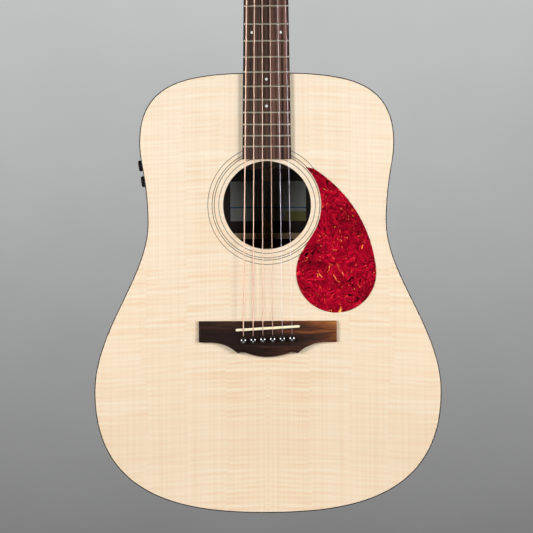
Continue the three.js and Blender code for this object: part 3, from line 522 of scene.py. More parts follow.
def tortoiseshell():
    """Red celluloid: crimson swirls, black streaks, and amber flecks with glowing edges."""
    look = Look("tortoiseshell", Roughness=0.10, Specular_IOR_Level=0.4)
    swirl = look.node("TexNoise", {"Vector": look.place, "Scale": 34.0, "Detail": 2.0}).outputs["Color"]
    warped = look.vector("ADD", look.place, look.vector("MULTIPLY", swirl, (0.045,) * 3))

    def layer(*scale, **pattern):
        return look.noise(scale, at=warped, **pattern)

    clouds = layer(95, 95, 80, detail=5, roughness=0.68, distortion=2.2)
    base = look.ramp(clouds, (0.32, (0.085, 0.0008, 0.006)), (0.43, (0.230, 0.0010, 0.011)),
                     (0.53, (0.360, 0.0015, 0.017)), (0.62, (0.530, 0.005, 0.026)),
                     (0.73, (0.80, 0.030, 0.040)))
    hairs = layer(260, 260, 700, detail=4, roughness=0.7, distortion=1.6, shift=(2, 0, 0))
    brushed = look.times(base, look.ramp(hairs, (0.34, 0.42), (0.62, 1.42)), 0.8)
    patches = layer(26, 26, 44, detail=2, shift=(4, 0, 0))
    patchy = look.times(brushed, look.ramp(patches, (0.36, 0.72), (0.62, 1.26)))
    streaks = layer(85, 85, 150, detail=4, roughness=0.66, distortion=2.0, shift=(0, 0, 5))
    dark = look.mix(look.ramp(streaks, (0.560, 0.0), (0.625, 0.94)), patchy, (0.008, 0.0006, 0.002))
    flecks = layer(210, 210, 120, detail=2, distortion=1.2, shift=(1, 6, 0))
    glow = look.mix(look.ramp(flecks, (0.640, 0.0), (0.690, 0.85)), dark, (0.90, 0.075, 0.030))
    look.colour(look.mix(look.ramp(flecks, (0.690, 0.0), (0.725, 1.0)), glow, (1.0, 0.52, 0.09)))
    return look.material


def plain_finish(name, colour, variation=0.1, scale=300, roughness=(0.3, 0.45), bump_strength=0.03,
                 stretch=(1, 1, 1), **surface):
    """Moulded, cast or polished surfaces: a colour with slight mottling, uneven gloss and fine relief."""
    look = Look(name, Coat_Roughness=0.05, **surface)
    mottle = look.noise(tuple(scale * s for s in stretch), detail=4)
    look.colour(look.ramp(mottle, (0.3, tuple(c * (1 - variation) for c in colour)),
                          (0.7, tuple(min(1, c * (1 + variation)) for c in colour))))
    look.roughness(look.noise((60, 60, 60), detail=3), *roughness)
    look.bump(mottle, bump_strength, 0.0002)
    return look.material


def wound_wire():
    """Bronze wire wound round a steel core: the turns are ridges across the string."""
    look = Look("wound_wire", Metallic=1.0)
    turns = look.node("TexWave", {"Vector": look.place, "Scale": 900.0, "Distortion": 0.0},
                      wave_type="BANDS", bands_direction="Z").outputs["Fac"]
    # The colour is darker in the low grooves between turns: painted shade.
    look.colour(look.ramp(turns, (0.0, (0.60, 0.39, 0.30)), (0.6, (0.76, 0.52, 0.41))))
    look.roughness(look.noise((200, 200, 200)), 0.44, 0.54)
    look.bump(turns, 0.05, 0.0001)
    return look.material


def label_paper():
    """Cream paper with one blue rule and an olive panel, and nothing written on it, darkened as painted shade for
    the inside of the body.
    """
    look = Look("label_paper", Roughness=0.8, Specular_IOR_Level=0.2)
    fibres = look.noise((500, 500, 500), detail=4)
    # Painted shade: the paper's grey and the olive panel are cream paper and olive print made far darker, for the
    # dim light inside the body.
    paper = look.ramp(fibres, (0.3, (0.28, 0.285, 0.265)), (0.7, (0.35, 0.355, 0.33)))
    rule_z, rule_half, panel_x = -(HOLE_Y - 0.9) / 1000, 0.0006, 0.022
    x, _, z = look.axes()

    def band(value, low, high):
        above = look.math("GREATER_THAN", value, low)
        return look.math("MULTIPLY", above, look.math("LESS_THAN", value, high))

    ruled = look.mix(band(z, rule_z - rule_half, rule_z + rule_half), paper, (0.02, 0.10, 0.24))
    panel = look.math("MULTIPLY", band(x, panel_x, 1.0), band(z, -1.0, rule_z - 0.0046))
    look.colour(look.mix(panel, ruled, (0.20, 0.19, 0.065)))
    look.bump(fibres, 0.1, 0.0002)
    return look.material


ROSEWOOD_COLOURS = ((0.018, 0.008, 0.006), (0.060, 0.022, 0.013), (0.130, 0.050, 0.026))
# Painted shade: the inside faces' wood, about half as bright as the rosewood, so that the inside of the body stays
# dark.
SHADED_INSIDE_COLOURS = ((0.010, 0.007, 0.006), (0.020, 0.012, 0.009), (0.036, 0.020, 0.014))
NECK_COLOURS = ((0.085, 0.028, 0.014), (0.140, 0.050, 0.024), (0.200, 0.080, 0.040))
BLOCK_COLOURS = ((0.10, 0.040, 0.022), (0.170, 0.075, 0.040), (0.240, 0.115, 0.065))
BRACE_COLOURS = ((0.42, 0.27, 0.14), (0.52, 0.35, 0.19), (0.60, 0.42, 0.25))
LINING_COLOURS = ((0.40, 0.25, 0.13), (0.50, 0.33, 0.18), (0.58, 0.40, 0.23))

TOP = flamed_top()
ROSEWOOD = streaked_wood("rosewood", ROSEWOOD_COLOURS, "Z", 230, 4, 0.32, coat=0.7, mirrored=True, seed=1)
SIDE_WOOD = streaked_wood("side_rosewood", ROSEWOOD_COLOURS, "X", 230, 4, 0.32, coat=0.7, bent=True, seed=1)
SHADED_INSIDE_WOOD = streaked_wood("inside_wood_painted_shade", SHADED_INSIDE_COLOURS, "Z", 230, 4, 0.8, seed=1)
BOARD_WOOD = fretboard_wood()
BRIDGE_WOOD = bridge_wood()
NECK_WOOD = streaked_wood("neck_mahogany", NECK_COLOURS, "Z", 200, 6, 0.4, coat=0.25, seed=3)
BLOCK_WOOD = streaked_wood("block_mahogany", BLOCK_COLOURS, "Z", 200, 6, 0.7, seed=4)
BRACE_WOOD = streaked_wood("brace_spruce", BRACE_COLOURS, "X", 300, 6, 0.75, seed=5)
LINING_WOOD = streaked_wood("lining_wood", LINING_COLOURS, "Z", 300, 20, 0.75, seed=6)
INLAY = plain_finish("inlay_grey", (0.055, 0.036, 0.027), 0.25, roughness=(0.35, 0.45))
BONE = plain_finish("bone", (0.97, 0.87, 0.60), 0.03, 160, (0.28, 0.42), stretch=(1, 1, 0.2), Coat_Weight=0.2)
BLACK = plain_finish("black_plastic", (0.003, 0.003, 0.004), 0.2, roughness=(0.16, 0.24),
                     Specular_IOR_Level=0.15)
# Partly painted shade: near-black strips along the fretboard's edges, standing for the shade at its rounded edges
# as well as for a black binding.
EDGE_SHADE_BLACK = plain_finish("edge_shade_black", (0.006, 0.005, 0.005), 0.3, roughness=(0.45, 0.6),
                          Specular_IOR_Level=0.1)
PIN_BLACK = plain_finish("pin_black", (0.003, 0.003, 0.004), 0.2, roughness=(0.12, 0.16), bump_strength=0.0,
                         Coat_Weight=1.0, Coat_IOR=1.8, Specular_IOR_Level=1.0)
TORTOISE = tortoiseshell()
CHROME = plain_finish("chrome", (0.78, 0.78, 0.80), 0.04, 120, (0.06, 0.16), 0.01, Metallic=1.0)
STEEL = plain_finish("dark_steel", (0.30, 0.30, 0.31), 0.15, 250, (0.35, 0.55), Metallic=1.0)
FRET_WIRE = plain_finish("fret_wire", (0.60, 0.58, 0.46), 0.06, 500, (0.32, 0.38), 0.01, Metallic=1.0)
PEARL = plain_finish("dot_white", (0.80, 0.80, 0.76), 0.10, 900, (0.15, 0.25), Coat_Weight=0.5)
BRONZE_WIRE = wound_wire()
PLAIN_WIRE = plain_finish("plain_wire", (0.72, 0.67, 0.77), 0.03, 300, (0.36, 0.44), 0.0, Metallic=1.0)
LABEL = label_paper()


# ------------------------------------------------------------------ body outline

def bezier(a, b, c, d, count=160):
    t = np.linspace(0, 1, count)[:, None]
    a, b, c, d = (np.array(p, dtype=float) for p in (a, b, c, d))
    return (1 - t) ** 3 * a + 3 * t * (1 - t) ** 2 * b + 3 * t * t * (1 - t) * c + t ** 3 * d


def distance_along(line):
    return np.concatenate([[0], np.cumsum(np.linalg.norm(np.diff(line, axis=0), axis=1))])


def half_outline(inset=0.0, count=150):
    """Treble half of the body's outline, evenly spaced from the neck joint to the tail, moved inwards."""
    upper, waist, lower = (145.4, 79.8), (136.3, 171.2), (197.9, 363.9)
    chain = np.vstack([
        bezier((0, 0), (85.4, 0), (upper[0], upper[1] - 74.1), upper),
        bezier(upper, (upper[0], upper[1] + 22.7), (waist[0], waist[1] - 48.8), waist),
        bezier(waist, (waist[0], waist[1] + 60.3), (lower[0], lower[1] - 71.1), lower),
        bezier(lower, (lower[0], lower[1] + 128.4), (81.5, BODY_LENGTH), (0, BODY_LENGTH)),
    ])
    travelled = distance_along(chain)
    even = np.linspace(0, travelled[-1], count)
    line = np.column_stack([np.interp(even, travelled, chain[:, k]) for k in (0, 1)])
    along = np.gradient(line, axis=0)
    along[0], along[-1] = (1, 0), (-1, 0)
    along /= np.linalg.norm(along, axis=1)[:, None]
    moved = line + inset * np.column_stack([-along[:, 1], along[:, 0]])
    moved[0, 0] = moved[-1, 0] = 0
    return moved + (0, BODY_TOP)


def whole_outline(inset=0.0):
    half = half_outline(inset)
    return np.vstack([half, (half * (-1, 1))[-2:0:-1]])


def hoop(section, loop=True, side=1):
    """A strip round the body, from (inset, depth) pairs, where depth may be a function of (x, y)."""
    columns = []
    for inset, depth in section:
        line = whole_outline(inset) if loop else half_outline(inset) * (side, 1)
        deep = depth(line[:, 0], line[:, 1]) if callable(depth) else np.full(len(line), float(depth))
        columns.append(np.column_stack([line, deep]))
    return loft(np.stack(columns, axis=1), loop)


# ------------------------------------------------------------------ body

def paint_inside_shade(piece, faces_in):
    """Painted shade on the faces that look into the body: unlacquered wood far darker than the real wood, which
    keeps the inside dark.
    """
    piece.data.materials.append(SHADED_INSIDE_WOOD)
    for polygon in piece.data.polygons:
        if faces_in(polygon.center, polygon.normal):
            polygon.material_index = 1


def make_soundboard():
    pin_holes = [circle(*pin_place(i), 2.6, 20) for i in range(len(STRINGS))]
    loops = [whole_outline(BINDING_WIDTH), circle(0, HOLE_Y, HOLE_RADIUS, 160), *pin_holes]
    piece = make_piece("soundboard_plate", flat_plate(loops, 0, TOP_THICKNESS, 0.25, 2), TOP)
    # The soundboard's inner face takes the darkened inside wood, as painted shade, in place of the top's own pale
    # wood.
    paint_inside_shade(piece, lambda centre, normal: normal.y > 0.5)
    stand_for(piece, "soundboard")


def make_rosette():
    rings = []
    for radius, half in RING_HALVES.items():
        edges = [circle(0, HOLE_Y, radius + half, 200), circle(0, HOLE_Y, radius - half, 200)]
        rings.append(flat_plate(edges, -0.03, 0.6))
    stand_for(make_piece("rosette_rings", join_shapes(rings), INLAY), "rosette")


def make_bindings():
    r = 0.45
    rounded = [(r + r * math.cos(a), r + r * math.sin(a)) for a in np.radians(np.linspace(180, 270, 5))]
    top = [*rounded, (BINDING_WIDTH, 0), (BINDING_WIDTH, BINDING_HEIGHT), (0, BINDING_HEIGHT)]
    stand_for(make_piece("top_binding_strip", hoop(top), BLACK), "top_binding")
    inner_edge = behind(BACK_BINDING_HEIGHT)
    back = [(0, inner_edge), (BINDING_WIDTH, inner_edge), (BINDING_WIDTH, behind(0)), (0.5, behind(0)),
            (0.15, behind(0.15)), (0, behind(0.5))]
    stand_for(make_piece("back_binding_strip", hoop(back), BLACK), "back_binding")


def make_sides():
    section = [(0, SIDE_START), (SIDE_THICKNESS, SIDE_START),
               (SIDE_THICKNESS, behind(SIDE_START)), (0, behind(SIDE_START))]
    middle = Vector((0, 0, -BODY_MIDDLE / 1000))
    for node, side in (("side_treble", 1), ("side_bass", -1)):
        piece = make_piece(node + "_panel", hoop(section, loop=False, side=side), SIDE_WOOD)
        mark_way_round(piece)
        paint_inside_shade(piece, lambda centre, normal: normal.dot(middle - centre) > 0.02)
        stand_for(piece, node)


def mark_way_round(piece):
    """Stores how far round the body each point lies, so that the grain of a bent side follows the bend."""
    outline = half_outline()
    travelled = distance_along(outline) / 1000
    marks = piece.data.attributes.new("way_round", "FLOAT_VECTOR", "POINT")
    for vertex, mark in zip(piece.data.vertices, marks.data):
        apart = outline - (1000 * abs(vertex.co.x), -1000 * vertex.co.z)
        nearest = np.argmin(np.hypot(apart[:, 0], apart[:, 1]))
        mark.vector = (travelled[nearest], vertex.co.y, 0)


def make_back():
    """The arched plate: rings of points from the middle line out to the edge, on both faces."""
    rim = whole_outline(BINDING_WIDTH)
    spine = np.column_stack([np.zeros(len(rim)), BODY_MIDDLE + (rim[:, 1] - BODY_MIDDLE) * 0.45])
    rings = []
    for inwards, first, last in ((0, 0.02, 1), (BACK_THICKNESS, 1, 0.02)):
        for share in np.linspace(first, last, 14):
            line = spine + (rim - spine) * share
            rings.append(np.column_stack([line, back_depth(*line.T) - inwards]))
    piece = make_piece("back_panel", loft(rings), ROSEWOOD)
    paint_inside_shade(piece, lambda centre, normal: normal.y < -0.5)
    stand_for(piece, "back_plate")


def make_label():
    """One paper label glued to the back between two braces, over the centre strip."""
    thickness, strip_height = 0.15, 2.5
    xs, ys = np.linspace(-44.0, 47.0, 47), np.linspace(HOLE_Y - 32.5, HOLE_Y + 15.3, 13)
    inner_face = behind(BACK_THICKNESS + thickness)
    points = [(x, y, inner_face(x, y) - strip_height * (1 - smooth_step(abs(x), 7.5, 11)))
              for x in xs for y in ys]
    size = len(ys)
    faces = [(i * size + j, i * size + j + 1, (i + 1) * size + j + 1, (i + 1) * size + j)
             for i in range(len(xs) - 1) for j in range(size - 1)]
    piece = make_piece("paper_label", (points, faces), LABEL)
    piece.modifiers.new("thickness", "SOLIDIFY").thickness = thickness / 1000
    add_detail(piece, "guitar")


# ------------------------------------------------------------------ pickguard, bridge, saddle, pins

def pin_place(i):
    x = SPREAD_AT_SADDLE * (i / 5 - 0.5)
    pin = plan_box("bridge_pin_" + STRINGS[i])
    return x, (pin[0][1] + pin[1][1]) / 2


def make_pickguard():
    """An arc follows the rosette, a short straight leads to the belly, and a long arc to a cut tip."""
    follow_radius, follow_tip = 61.7, math.radians(-44.4)
    belly_x, belly_y, belly_radius = 78.4, 77.3, 45.7
    long_radius, long_start, long_end = 152.8, math.radians(-57.9), math.radians(-5.7)
    apart = math.hypot(belly_x, belly_y)
    join = math.atan2(belly_y, belly_x) - math.acos((follow_radius + belly_radius) / apart)
    long_x = belly_x - (long_radius - belly_radius) * math.cos(long_end)
    long_y = belly_y - (long_radius - belly_radius) * math.sin(long_end)
    outline = np.vstack([
        arc(long_x, HOLE_Y + long_y, long_radius, long_start, long_end, 60),
        arc(belly_x, HOLE_Y + belly_y, belly_radius, long_end, join + math.pi, 110),
        arc(0, HOLE_Y, follow_radius, join, follow_tip, 70),
    ])
    sheet = flat_plate([without_repeats(outline)], -0.8, 0, 0.25, 3)
    stand_for(make_piece("pickguard_sheet", sheet, TORTOISE), "pickguard")


def bridge_outline():
    """Right half from the upper edge round to the belly, then mirrored."""
    wing, scoop_x, scoop_radius, point_x, point_y = 24.2, 65.5, 45.4, 34.2, 36.7
    belly_x, belly_y, lowest = 26.0, 35.5, 40.9
    rise = lowest - belly_y
    belly_radius = (belly_x ** 2 + rise ** 2) / (2 * rise)
    xs = np.linspace(scoop_x, point_x, 24)
    scoop = [(x, wing + scoop_radius - math.sqrt(scoop_radius ** 2 - (scoop_x - x) ** 2)) for x in xs]
    bx = np.linspace(belly_x, 0, 24)
    belly = [(x, belly_y + math.sqrt(belly_radius ** 2 - x * x) - (belly_radius - rise)) for x in bx]
    half = [(0, 0), (BRIDGE_HALF - 0.5, 0), (BRIDGE_HALF, 0.5), (BRIDGE_HALF, wing - 0.5),
            (BRIDGE_HALF - 0.5, wing), *scoop, (point_x - 1.2, point_y - 0.25),
            (point_x - 3.2, belly_y - 0.1), *belly]
    left = [(-x, y) for x, y in half[1:-1]][::-1]
    return np.array(half + left) + (0, BRIDGE_EDGE)


def edge_distance(points, outline):
    """Distance of each point from the nearest edge of a closed outline."""
    starts, ends = outline, np.roll(outline, -1, axis=0)
    spans = ends - starts
    lengths = np.maximum((spans ** 2).sum(axis=1), 1e-9)
    nearest = np.full(len(points), 1e9)
    for start, span, length in zip(starts, spans, lengths):
        t = np.clip(((points - start) @ span) / length, 0, 1)
        nearest = np.minimum(nearest, np.linalg.norm(points - start - t[:, None] * span, axis=1))
    return nearest


def points_inside(points, outline):
    """Even-odd test of points against a closed outline."""
    inside = np.zeros(len(points), dtype=bool)
    for (ax, ay), (bx, by) in zip(outline, np.roll(outline, -1, axis=0)):
        crosses = (ay > points[:, 1]) != (by > points[:, 1])
        if ay != by:
            inside ^= crosses & (points[:, 0] < (bx - ax) * (points[:, 1] - ay) / (by - ay) + ax)
    return inside


def inset_ring(outline, inset):
    """The outline's points moved inwards, without those that its sharp corners push out again."""
    along = np.roll(outline, -1, axis=0) - np.roll(outline, 1, axis=0)
    along /= np.linalg.norm(along, axis=1)[:, None]
    normal = np.column_stack([-along[:, 1], along[:, 0]])
    for side in (1, -1):
        ring = outline + side * inset * normal
        if points_inside(ring, outline).mean() > 0.5:
            break
    good = points_inside(ring, outline) & (edge_distance(ring, outline) > 0.9 * inset)
    return ring[good]


def bridge_height(points, edge):
    """Height of the bridge's face: lower wing tips, a chamfer along the belly, and softened edges."""
    tip_height, flat = 4.8, 30.0
    x, y = np.abs(points[:, 0]), points[:, 1] - BRIDGE_EDGE
    height = BRIDGE_HEIGHT - (BRIDGE_HEIGHT - tip_height) * smooth_step(x, flat, BRIDGE_HALF)
    arc_low, arc_radius = 36.0, 74.0
    beyond = np.hypot(x, y - (arc_low - arc_radius)) - arc_radius
    height -= 0.55 * np.maximum(beyond, 0) * (1 - smooth_step(x, 24, 40))
    soft = 0.9
    rim = np.clip(edge, 0, soft)
    return height - (soft - np.sqrt(np.maximum(soft ** 2 - (soft - rim) ** 2, 0)))


def make_bridge():
    """A mesh grid finer at the edge, lifted to the bridge's height, on a flat base."""
    outline = bridge_outline()
    spacing = 0.9
    xs = np.arange(-BRIDGE_HALF, BRIDGE_HALF, spacing)
    ys = np.arange(BRIDGE_EDGE, BRIDGE_EDGE + 42, spacing)
    grid = np.array([(x, y) for x in xs for y in ys])
    inside = points_inside(grid, outline) & (edge_distance(grid, outline) > 1.3)
    inner = [inset_ring(outline, inset) for inset in (0.12, 0.35, 0.9)]
    flat = np.vstack([outline, *inner, grid[inside]])
    count = len(outline)
    edges = [(i, (i + 1) % count) for i in range(count)]
    made = delaunay_2d_cdt([Vector(p) for p in flat], edges, [tuple(range(count))], 1, 1e-5)
    verts, faces = np.array([v[:] for v in made[0]]), [tuple(f) for f in made[2]]
    top = np.column_stack([verts, -bridge_height(verts, edge_distance(verts, outline))])
    base = np.column_stack([verts, np.zeros(len(verts))])
    size = len(verts)
    uses = {}
    for face in faces:
        for a, b in zip(face, face[1:] + face[:1]):
            key = (min(a, b), max(a, b))
            uses[key] = uses.get(key, 0) + 1
    walls = [(a, b, b + size, a + size) for (a, b), times in uses.items() if times == 1]
    underside = [tuple(i + size for i in reversed(face)) for face in faces]
    shape = (np.vstack([top, base]), faces + underside + walls)
    stand_for(make_piece("bridge_block", shape, BRIDGE_WOOD, soft_angle=50), "bridge")


def make_saddle():
    """A bone bar with round ends and a rounded, crowned top."""
    half_length, half_thickness = SADDLE_LENGTH / 2, SADDLE_THICKNESS / 2
    near_end = [0.97, 0.985, 0.995, 1]
    rings = []
    for share in [*(-s for s in reversed(near_end)), *np.linspace(-0.95, 0.95, 24), *near_end]:
        x = share * half_length
        past = max(abs(x) - (half_length - half_thickness), 0) / half_thickness
        end = math.sqrt(max(1 - past ** 2, 0.02))
        half = half_thickness * end
        top = SADDLE_TOP - crown(x) - 0.25 * (1 - end)
        over = [(half * math.cos(a), top - 0.9 + 0.9 * math.sin(a)) for a in np.linspace(0, math.pi, 9)]
        rings.append([(x, y, -z) for y, z in [(half, 3.0), *over, (-half, 3.0)]])
    turn = Matrix.Translation((0, SADDLE_Y, 0)) @ Matrix.Rotation(-SADDLE_SLANT, 4, "Z")
    stand_for(make_piece("saddle_bone", loft(rings), BONE, turn), "saddle")


def make_bridge_pins():
    """Pins with gently domed heads and rounded shoulders."""
    dome_radius, dome_z = 6.0, -7.4
    shoulder_radius, shoulder_x, shoulder_z = 1.257, 2.293, -11.55
    meet = 0.504  # the angle at which the two arcs touch
    dome = [(dome_radius * math.sin(a), dome_z - dome_radius * math.cos(a)) for a in np.linspace(0, meet, 8)]
    shoulder = [(shoulder_x + shoulder_radius * math.sin(a), shoulder_z - shoulder_radius * math.cos(a))
                for a in np.linspace(meet, math.pi / 2, 8)[1:]]
    shank = [(3.5, -10.7), (3.3, -10.3), (3.0, -10.1), (2.7, -10.0), (2.65, -9.6), (2.55, -9.2), (2.5, -6),
             (2.4, 2), (2.1, 7), (1.5, 8.1), (0, 8.4)]
    pin = turned([*dome, *shoulder, *shank])
    for i, name in enumerate(STRINGS):
        at = Matrix.Translation((*pin_place(i), 0))
        stand_for(make_piece("pin_" + name, pin, PIN_BLACK, at), "bridge_pin_" + name)


# ------------------------------------------------------------------ neck

def heel_fall(z):
    return np.clip((HEEL_DEPTH - z) / HEEL_DEPTH, 0, 1)


def heel_reach(z):
    """How far the heel stands out from the body, at a depth."""
    fall = heel_fall(z)
    return HEEL_LENGTH + 10 * fall + 46 * fall ** 6


def heel_half(z, from_body):
    """Half width of the heel at a depth and a distance from the body."""
    share = np.clip(from_body / heel_reach(z), 0, 1)
    return (HEEL_CAP_HALF + 14.2 * np.sqrt(heel_fall(z))) * np.sqrt(1 - share ** 2)


def head_half(s):
    """Half width of the headstock at a distance from its root: a quick flare, a slow one, round corners."""
    flare = 22 + 11.5 * smooth_step(s, 4, 25)
    half = np.where(s < 25, flare, 33.5 + 3.5 * (s - 25) / 133)
    corner = 9.0
    into = np.clip(s - (HEAD_LENGTH - HEAD_ARCH - corner), 0, corner)
    return half - (corner - np.sqrt(np.maximum(corner ** 2 - into ** 2, 0)))


def head_arch(s, x):
    """How far the headstock's curved end carries a point past its distance from the root."""
    return HEAD_ARCH * smooth_step(s, HEAD_LENGTH - 60, HEAD_LENGTH - HEAD_ARCH) * (1 - (x / 37) ** 2)


def squared_round(angles, power):
    """How far a unit superellipse reaches at each angle round a neck's back: a higher power is squarer."""
    return 1 / (np.abs(np.cos(angles)) ** power + np.sin(angles) ** power) ** (1 / power)


def neck_section(y, angles):
    """Half widths and depths of the shaft and heel at a station, as a ring of (x, z) round the back."""
    half = board_half(max(y, 0)) - 0.1
    depth = 14.5 + 3 * max(y, 0) / BODY_TOP
    from_body = SHAFT_END - y
    has_heel = from_body < 75
    reach = HEEL_DEPTH if from_body < 70 else depth
    depths = np.linspace(0.0, HEEL_DEPTH, 260)
    widths = heel_half(depths, from_body)
    across, down = np.cos(angles), np.sin(angles)
    out = []
    for c, s, r in zip(across, down, squared_round(angles, 2.25)):
        ray = np.linspace(0, reach / depth * 1.02, 400)
        z = ray * s * depth
        inside = (np.abs(c) * half * ray <= np.interp(z, depths, widths, right=0)) & (z <= HEEL_DEPTH)
        heel = ray[inside][-1] if inside.any() and has_heel else 0
        high, low = max(heel, r), min(heel, r)
        blend = 0.25 * max(0, 1 - (high - low) / 0.5) ** 2
        out.append(min(high + blend * 0.35, HEEL_DEPTH / max(s * depth, 1e-6), 1 / max(abs(c), 1e-6)))
    return np.column_stack([across * half * out, down * depth * out])


def close_front(x, z, level):
    """The ring's (x, z), carried back across its flat front."""
    front = np.linspace(-x[0], x[0], 15)[1:-1]
    return np.concatenate([x, front]), np.concatenate([z, np.full(len(front), level)])


def neck_rings():
    """Rings from the headstock's tip to the body: each runs round the back and closes over the front."""
    angles = np.linspace(0, math.pi, 41)
    thick = HEAD_THICKNESS - PLATE_THICKNESS
    rings = []
    head_stations = np.concatenate([np.linspace(HEAD_LENGTH - HEAD_ARCH, HEAD_LENGTH - 14, 9),
                                    np.linspace(HEAD_LENGTH - 18, 32, 16), np.linspace(29, 3, 14)])
    for s in head_stations:
        size = squared_round(angles, 14 - 11.6 * (1 - smooth_step(s, 2, 26)))
        level = PLATE_THICKNESS * smooth_step(s, 0, 2)
        deep = thick + 0.6 * (1 - smooth_step(s, 4, 30))
        x, z = close_front(np.cos(angles) * head_half(s) * size, level + np.sin(angles) * deep * size, level)
        rings.append(place(np.column_stack([x, -(s + head_arch(s, x)), z]), HEAD))
    stations = np.concatenate([[1.0, 6, 14, 26], np.linspace(45, SHAFT_END - 82, 14),
                               SHAFT_END - np.linspace(78, 26, 30), SHAFT_END - np.linspace(25, 0, 34)])
    for y in stations:
        x, z = close_front(*neck_section(y, angles).T, 0)
        rings.append(np.column_stack([x, np.full(len(x), y), z]))
    return rings


def make_neck():
    stand_for(make_piece("neck_wood", loft(neck_rings()), NECK_WOOD, soft_angle=50), "neck")
    ys = SHAFT_END - HEEL_LENGTH * np.cos(np.linspace(0, math.pi / 2, 20))
    half = HEEL_CAP_HALF * np.sqrt(np.clip(1 - ((SHAFT_END - ys) / HEEL_LENGTH) ** 2, 0, 1))
    right = np.column_stack([half, ys])
    outline = without_repeats(np.vstack([right, (right * (-1, 1))[::-1]]))
    cap = flat_plate([outline], HEEL_DEPTH, HEEL_DEPTH + 2.2, 0.4, 3)
    stand_for(make_piece("heel_cap_plate", cap, ROSEWOOD), "heel_cap")


def make_headstock_plate():
    s = np.concatenate([np.linspace(0, 30, 20), np.linspace(35, HEAD_LENGTH - 14, 12),
                        np.linspace(HEAD_LENGTH - 13, HEAD_LENGTH - HEAD_ARCH, 12)])
    half = head_half(s)
    xs = np.linspace(half[-1], 0, 12)[1:]
    right = np.column_stack([half, s + head_arch(s, half)])
    tip = np.column_stack([xs, s[-1] + head_arch(s[-1], xs)])
    edge = np.vstack([right, tip])
    outline = np.vstack([edge, (edge * (-1, 1))[-2::-1]]) * (1, -1)
    holes = [circle(*place_on_head(name)[:2], 4.8, 32) for name in STRINGS]
    veneer = flat_plate([without_repeats(outline), *holes], 0, PLATE_THICKNESS, 0.3, 3)
    stand_for(make_piece("headstock_veneer", veneer, ROSEWOOD, HEAD), "headstock_plate")


def place_on_head(name):
    """A tuner post's place in the headstock's own frame."""
    point = Vector(to_plan(joints[f"tuner_post_{name}_turn"]["pos_m"]))
    return HEAD.inverted() @ point


def make_fretboard():
    """A crowned board with eased edges, one ring for each station along it."""
    ease = 0.35
    rings = []
    for y in np.linspace(0, BOARD_END, 12):
        half = board_half(y)
        top = [(x, crown(x) - BOARD_THICKNESS) for x in np.linspace(half - ease, -half + ease, 15)]
        drop = top[0][1] + ease
        rings.append([(x, y, z) for x, z in [(half, 0), (half, drop), *top, (-half, drop), (-half, 0)]])
    stand_for(make_piece("fretboard_wood", loft(rings), BOARD_WOOD), "fretboard")


def make_fretboard_edges():
    """Thin black strips along both edges of the board's face, which follow its crown: a black binding that is also
    painted shade, for the dark line where the board's rounded edge turns down.
    """
    for side, name in ((1, "treble"), (-1, "bass")):
        rings = []
        for y in np.linspace(-0.02, BOARD_END + 0.02, 12):
            half = board_half(y)
            inner, inner_face = half - 1.3, BOARD_THICKNESS - crown(half - 1.3) + 0.03
            outer_face = BOARD_THICKNESS - crown(half) - 0.25
            ring = [(inner, inner_face - 1.2), (inner, inner_face), (half - 0.45, inner_face - 0.07),
                    (half - 0.1, outer_face + 0.1), (half + 0.05, outer_face - 0.2), (half + 0.05, 0.15)]
            rings.append([(side * x, y, -z) for x, z in ring])
        add_detail(make_piece("board_edge_" + name, loft(rings), EDGE_SHADE_BLACK), "guitar")


def fret_bar(n):
    """A half-round bar that follows the crown, its ends bevelled inwards."""
    y, half = fret_distance(n), board_half(fret_distance(n)) - 0.25
    width, height, sunk = 1.0, 1.1, 0.4
    rings = []
    for share in [-1, -0.985, -0.965, *np.linspace(-0.93, 0.93, 11), 0.965, 0.985, 1]:
        x = share * half
        end = 0.35 + 0.65 * float(smooth_step(1 - abs(share), 0, 0.035))
        face = crown(x) - BOARD_THICKNESS
        over = [(width * math.cos(a), face - height * end * math.sin(a)) for a in np.linspace(0, math.pi, 9)]
        rings.append([(x, y + dy, z) for dy, z in [*over, (-width, face + sunk), (width, face + sunk)]])
    return loft(rings)


def make_frets():
    for n in range(1, FRETS + 1):
        piece = make_piece(f"fret_{n:02d}", fret_bar(n), FRET_WIRE)
        if n == 1:
            stand_for(piece, "frets")
        else:
            add_detail(piece, "guitar")


def make_dots():
    disc = turned([(0, 0), (1.5, 0), (1.6, 0.06), (1.6, 1.5), (0, 1.5)])
    for fret, x in DOTS:
        y = (fret_distance(fret - 1) + fret_distance(fret)) / 2
        at = Matrix.Translation((x, y, crown(x) - BOARD_THICKNESS - 0.03))
        add_detail(make_piece(f"dot_{fret}_{int(x)}", disc, PEARL, at), "guitar")


def make_nut():
    """A bone bar, its top rounded towards the headstock and falling to both ends."""
    rings = []
    half = NUT_WIDTH / 2
    for x in [-half, -half + 0.4, *np.linspace(-half + 1.2, half - 1.2, 16), half - 0.4, half]:
        top = NUT_TOP + 0.45 - crown(x) * 0.6 - 0.35 * float(smooth_step(abs(x), half - 1.2, half))
        profile = [(-0.05, 0.0), (-0.05, top - 0.3), (-0.4, top)]
        profile += [(-NUT_THICKNESS + 2.4 - 2.4 * math.sin(a), top - 2.2 + 2.2 * math.cos(a))
                    for a in np.linspace(0.1, math.pi / 2, 6)]
        profile.append((-NUT_THICKNESS, 0.0))
        rings.append([(x, y, -z) for y, z in profile])
    stand_for(make_piece("nut_bone", loft(rings), BONE), "nut")


# ------------------------------------------------------------------ strings

POST_WAIST = 2.5
WRAP_TOP = -6.5


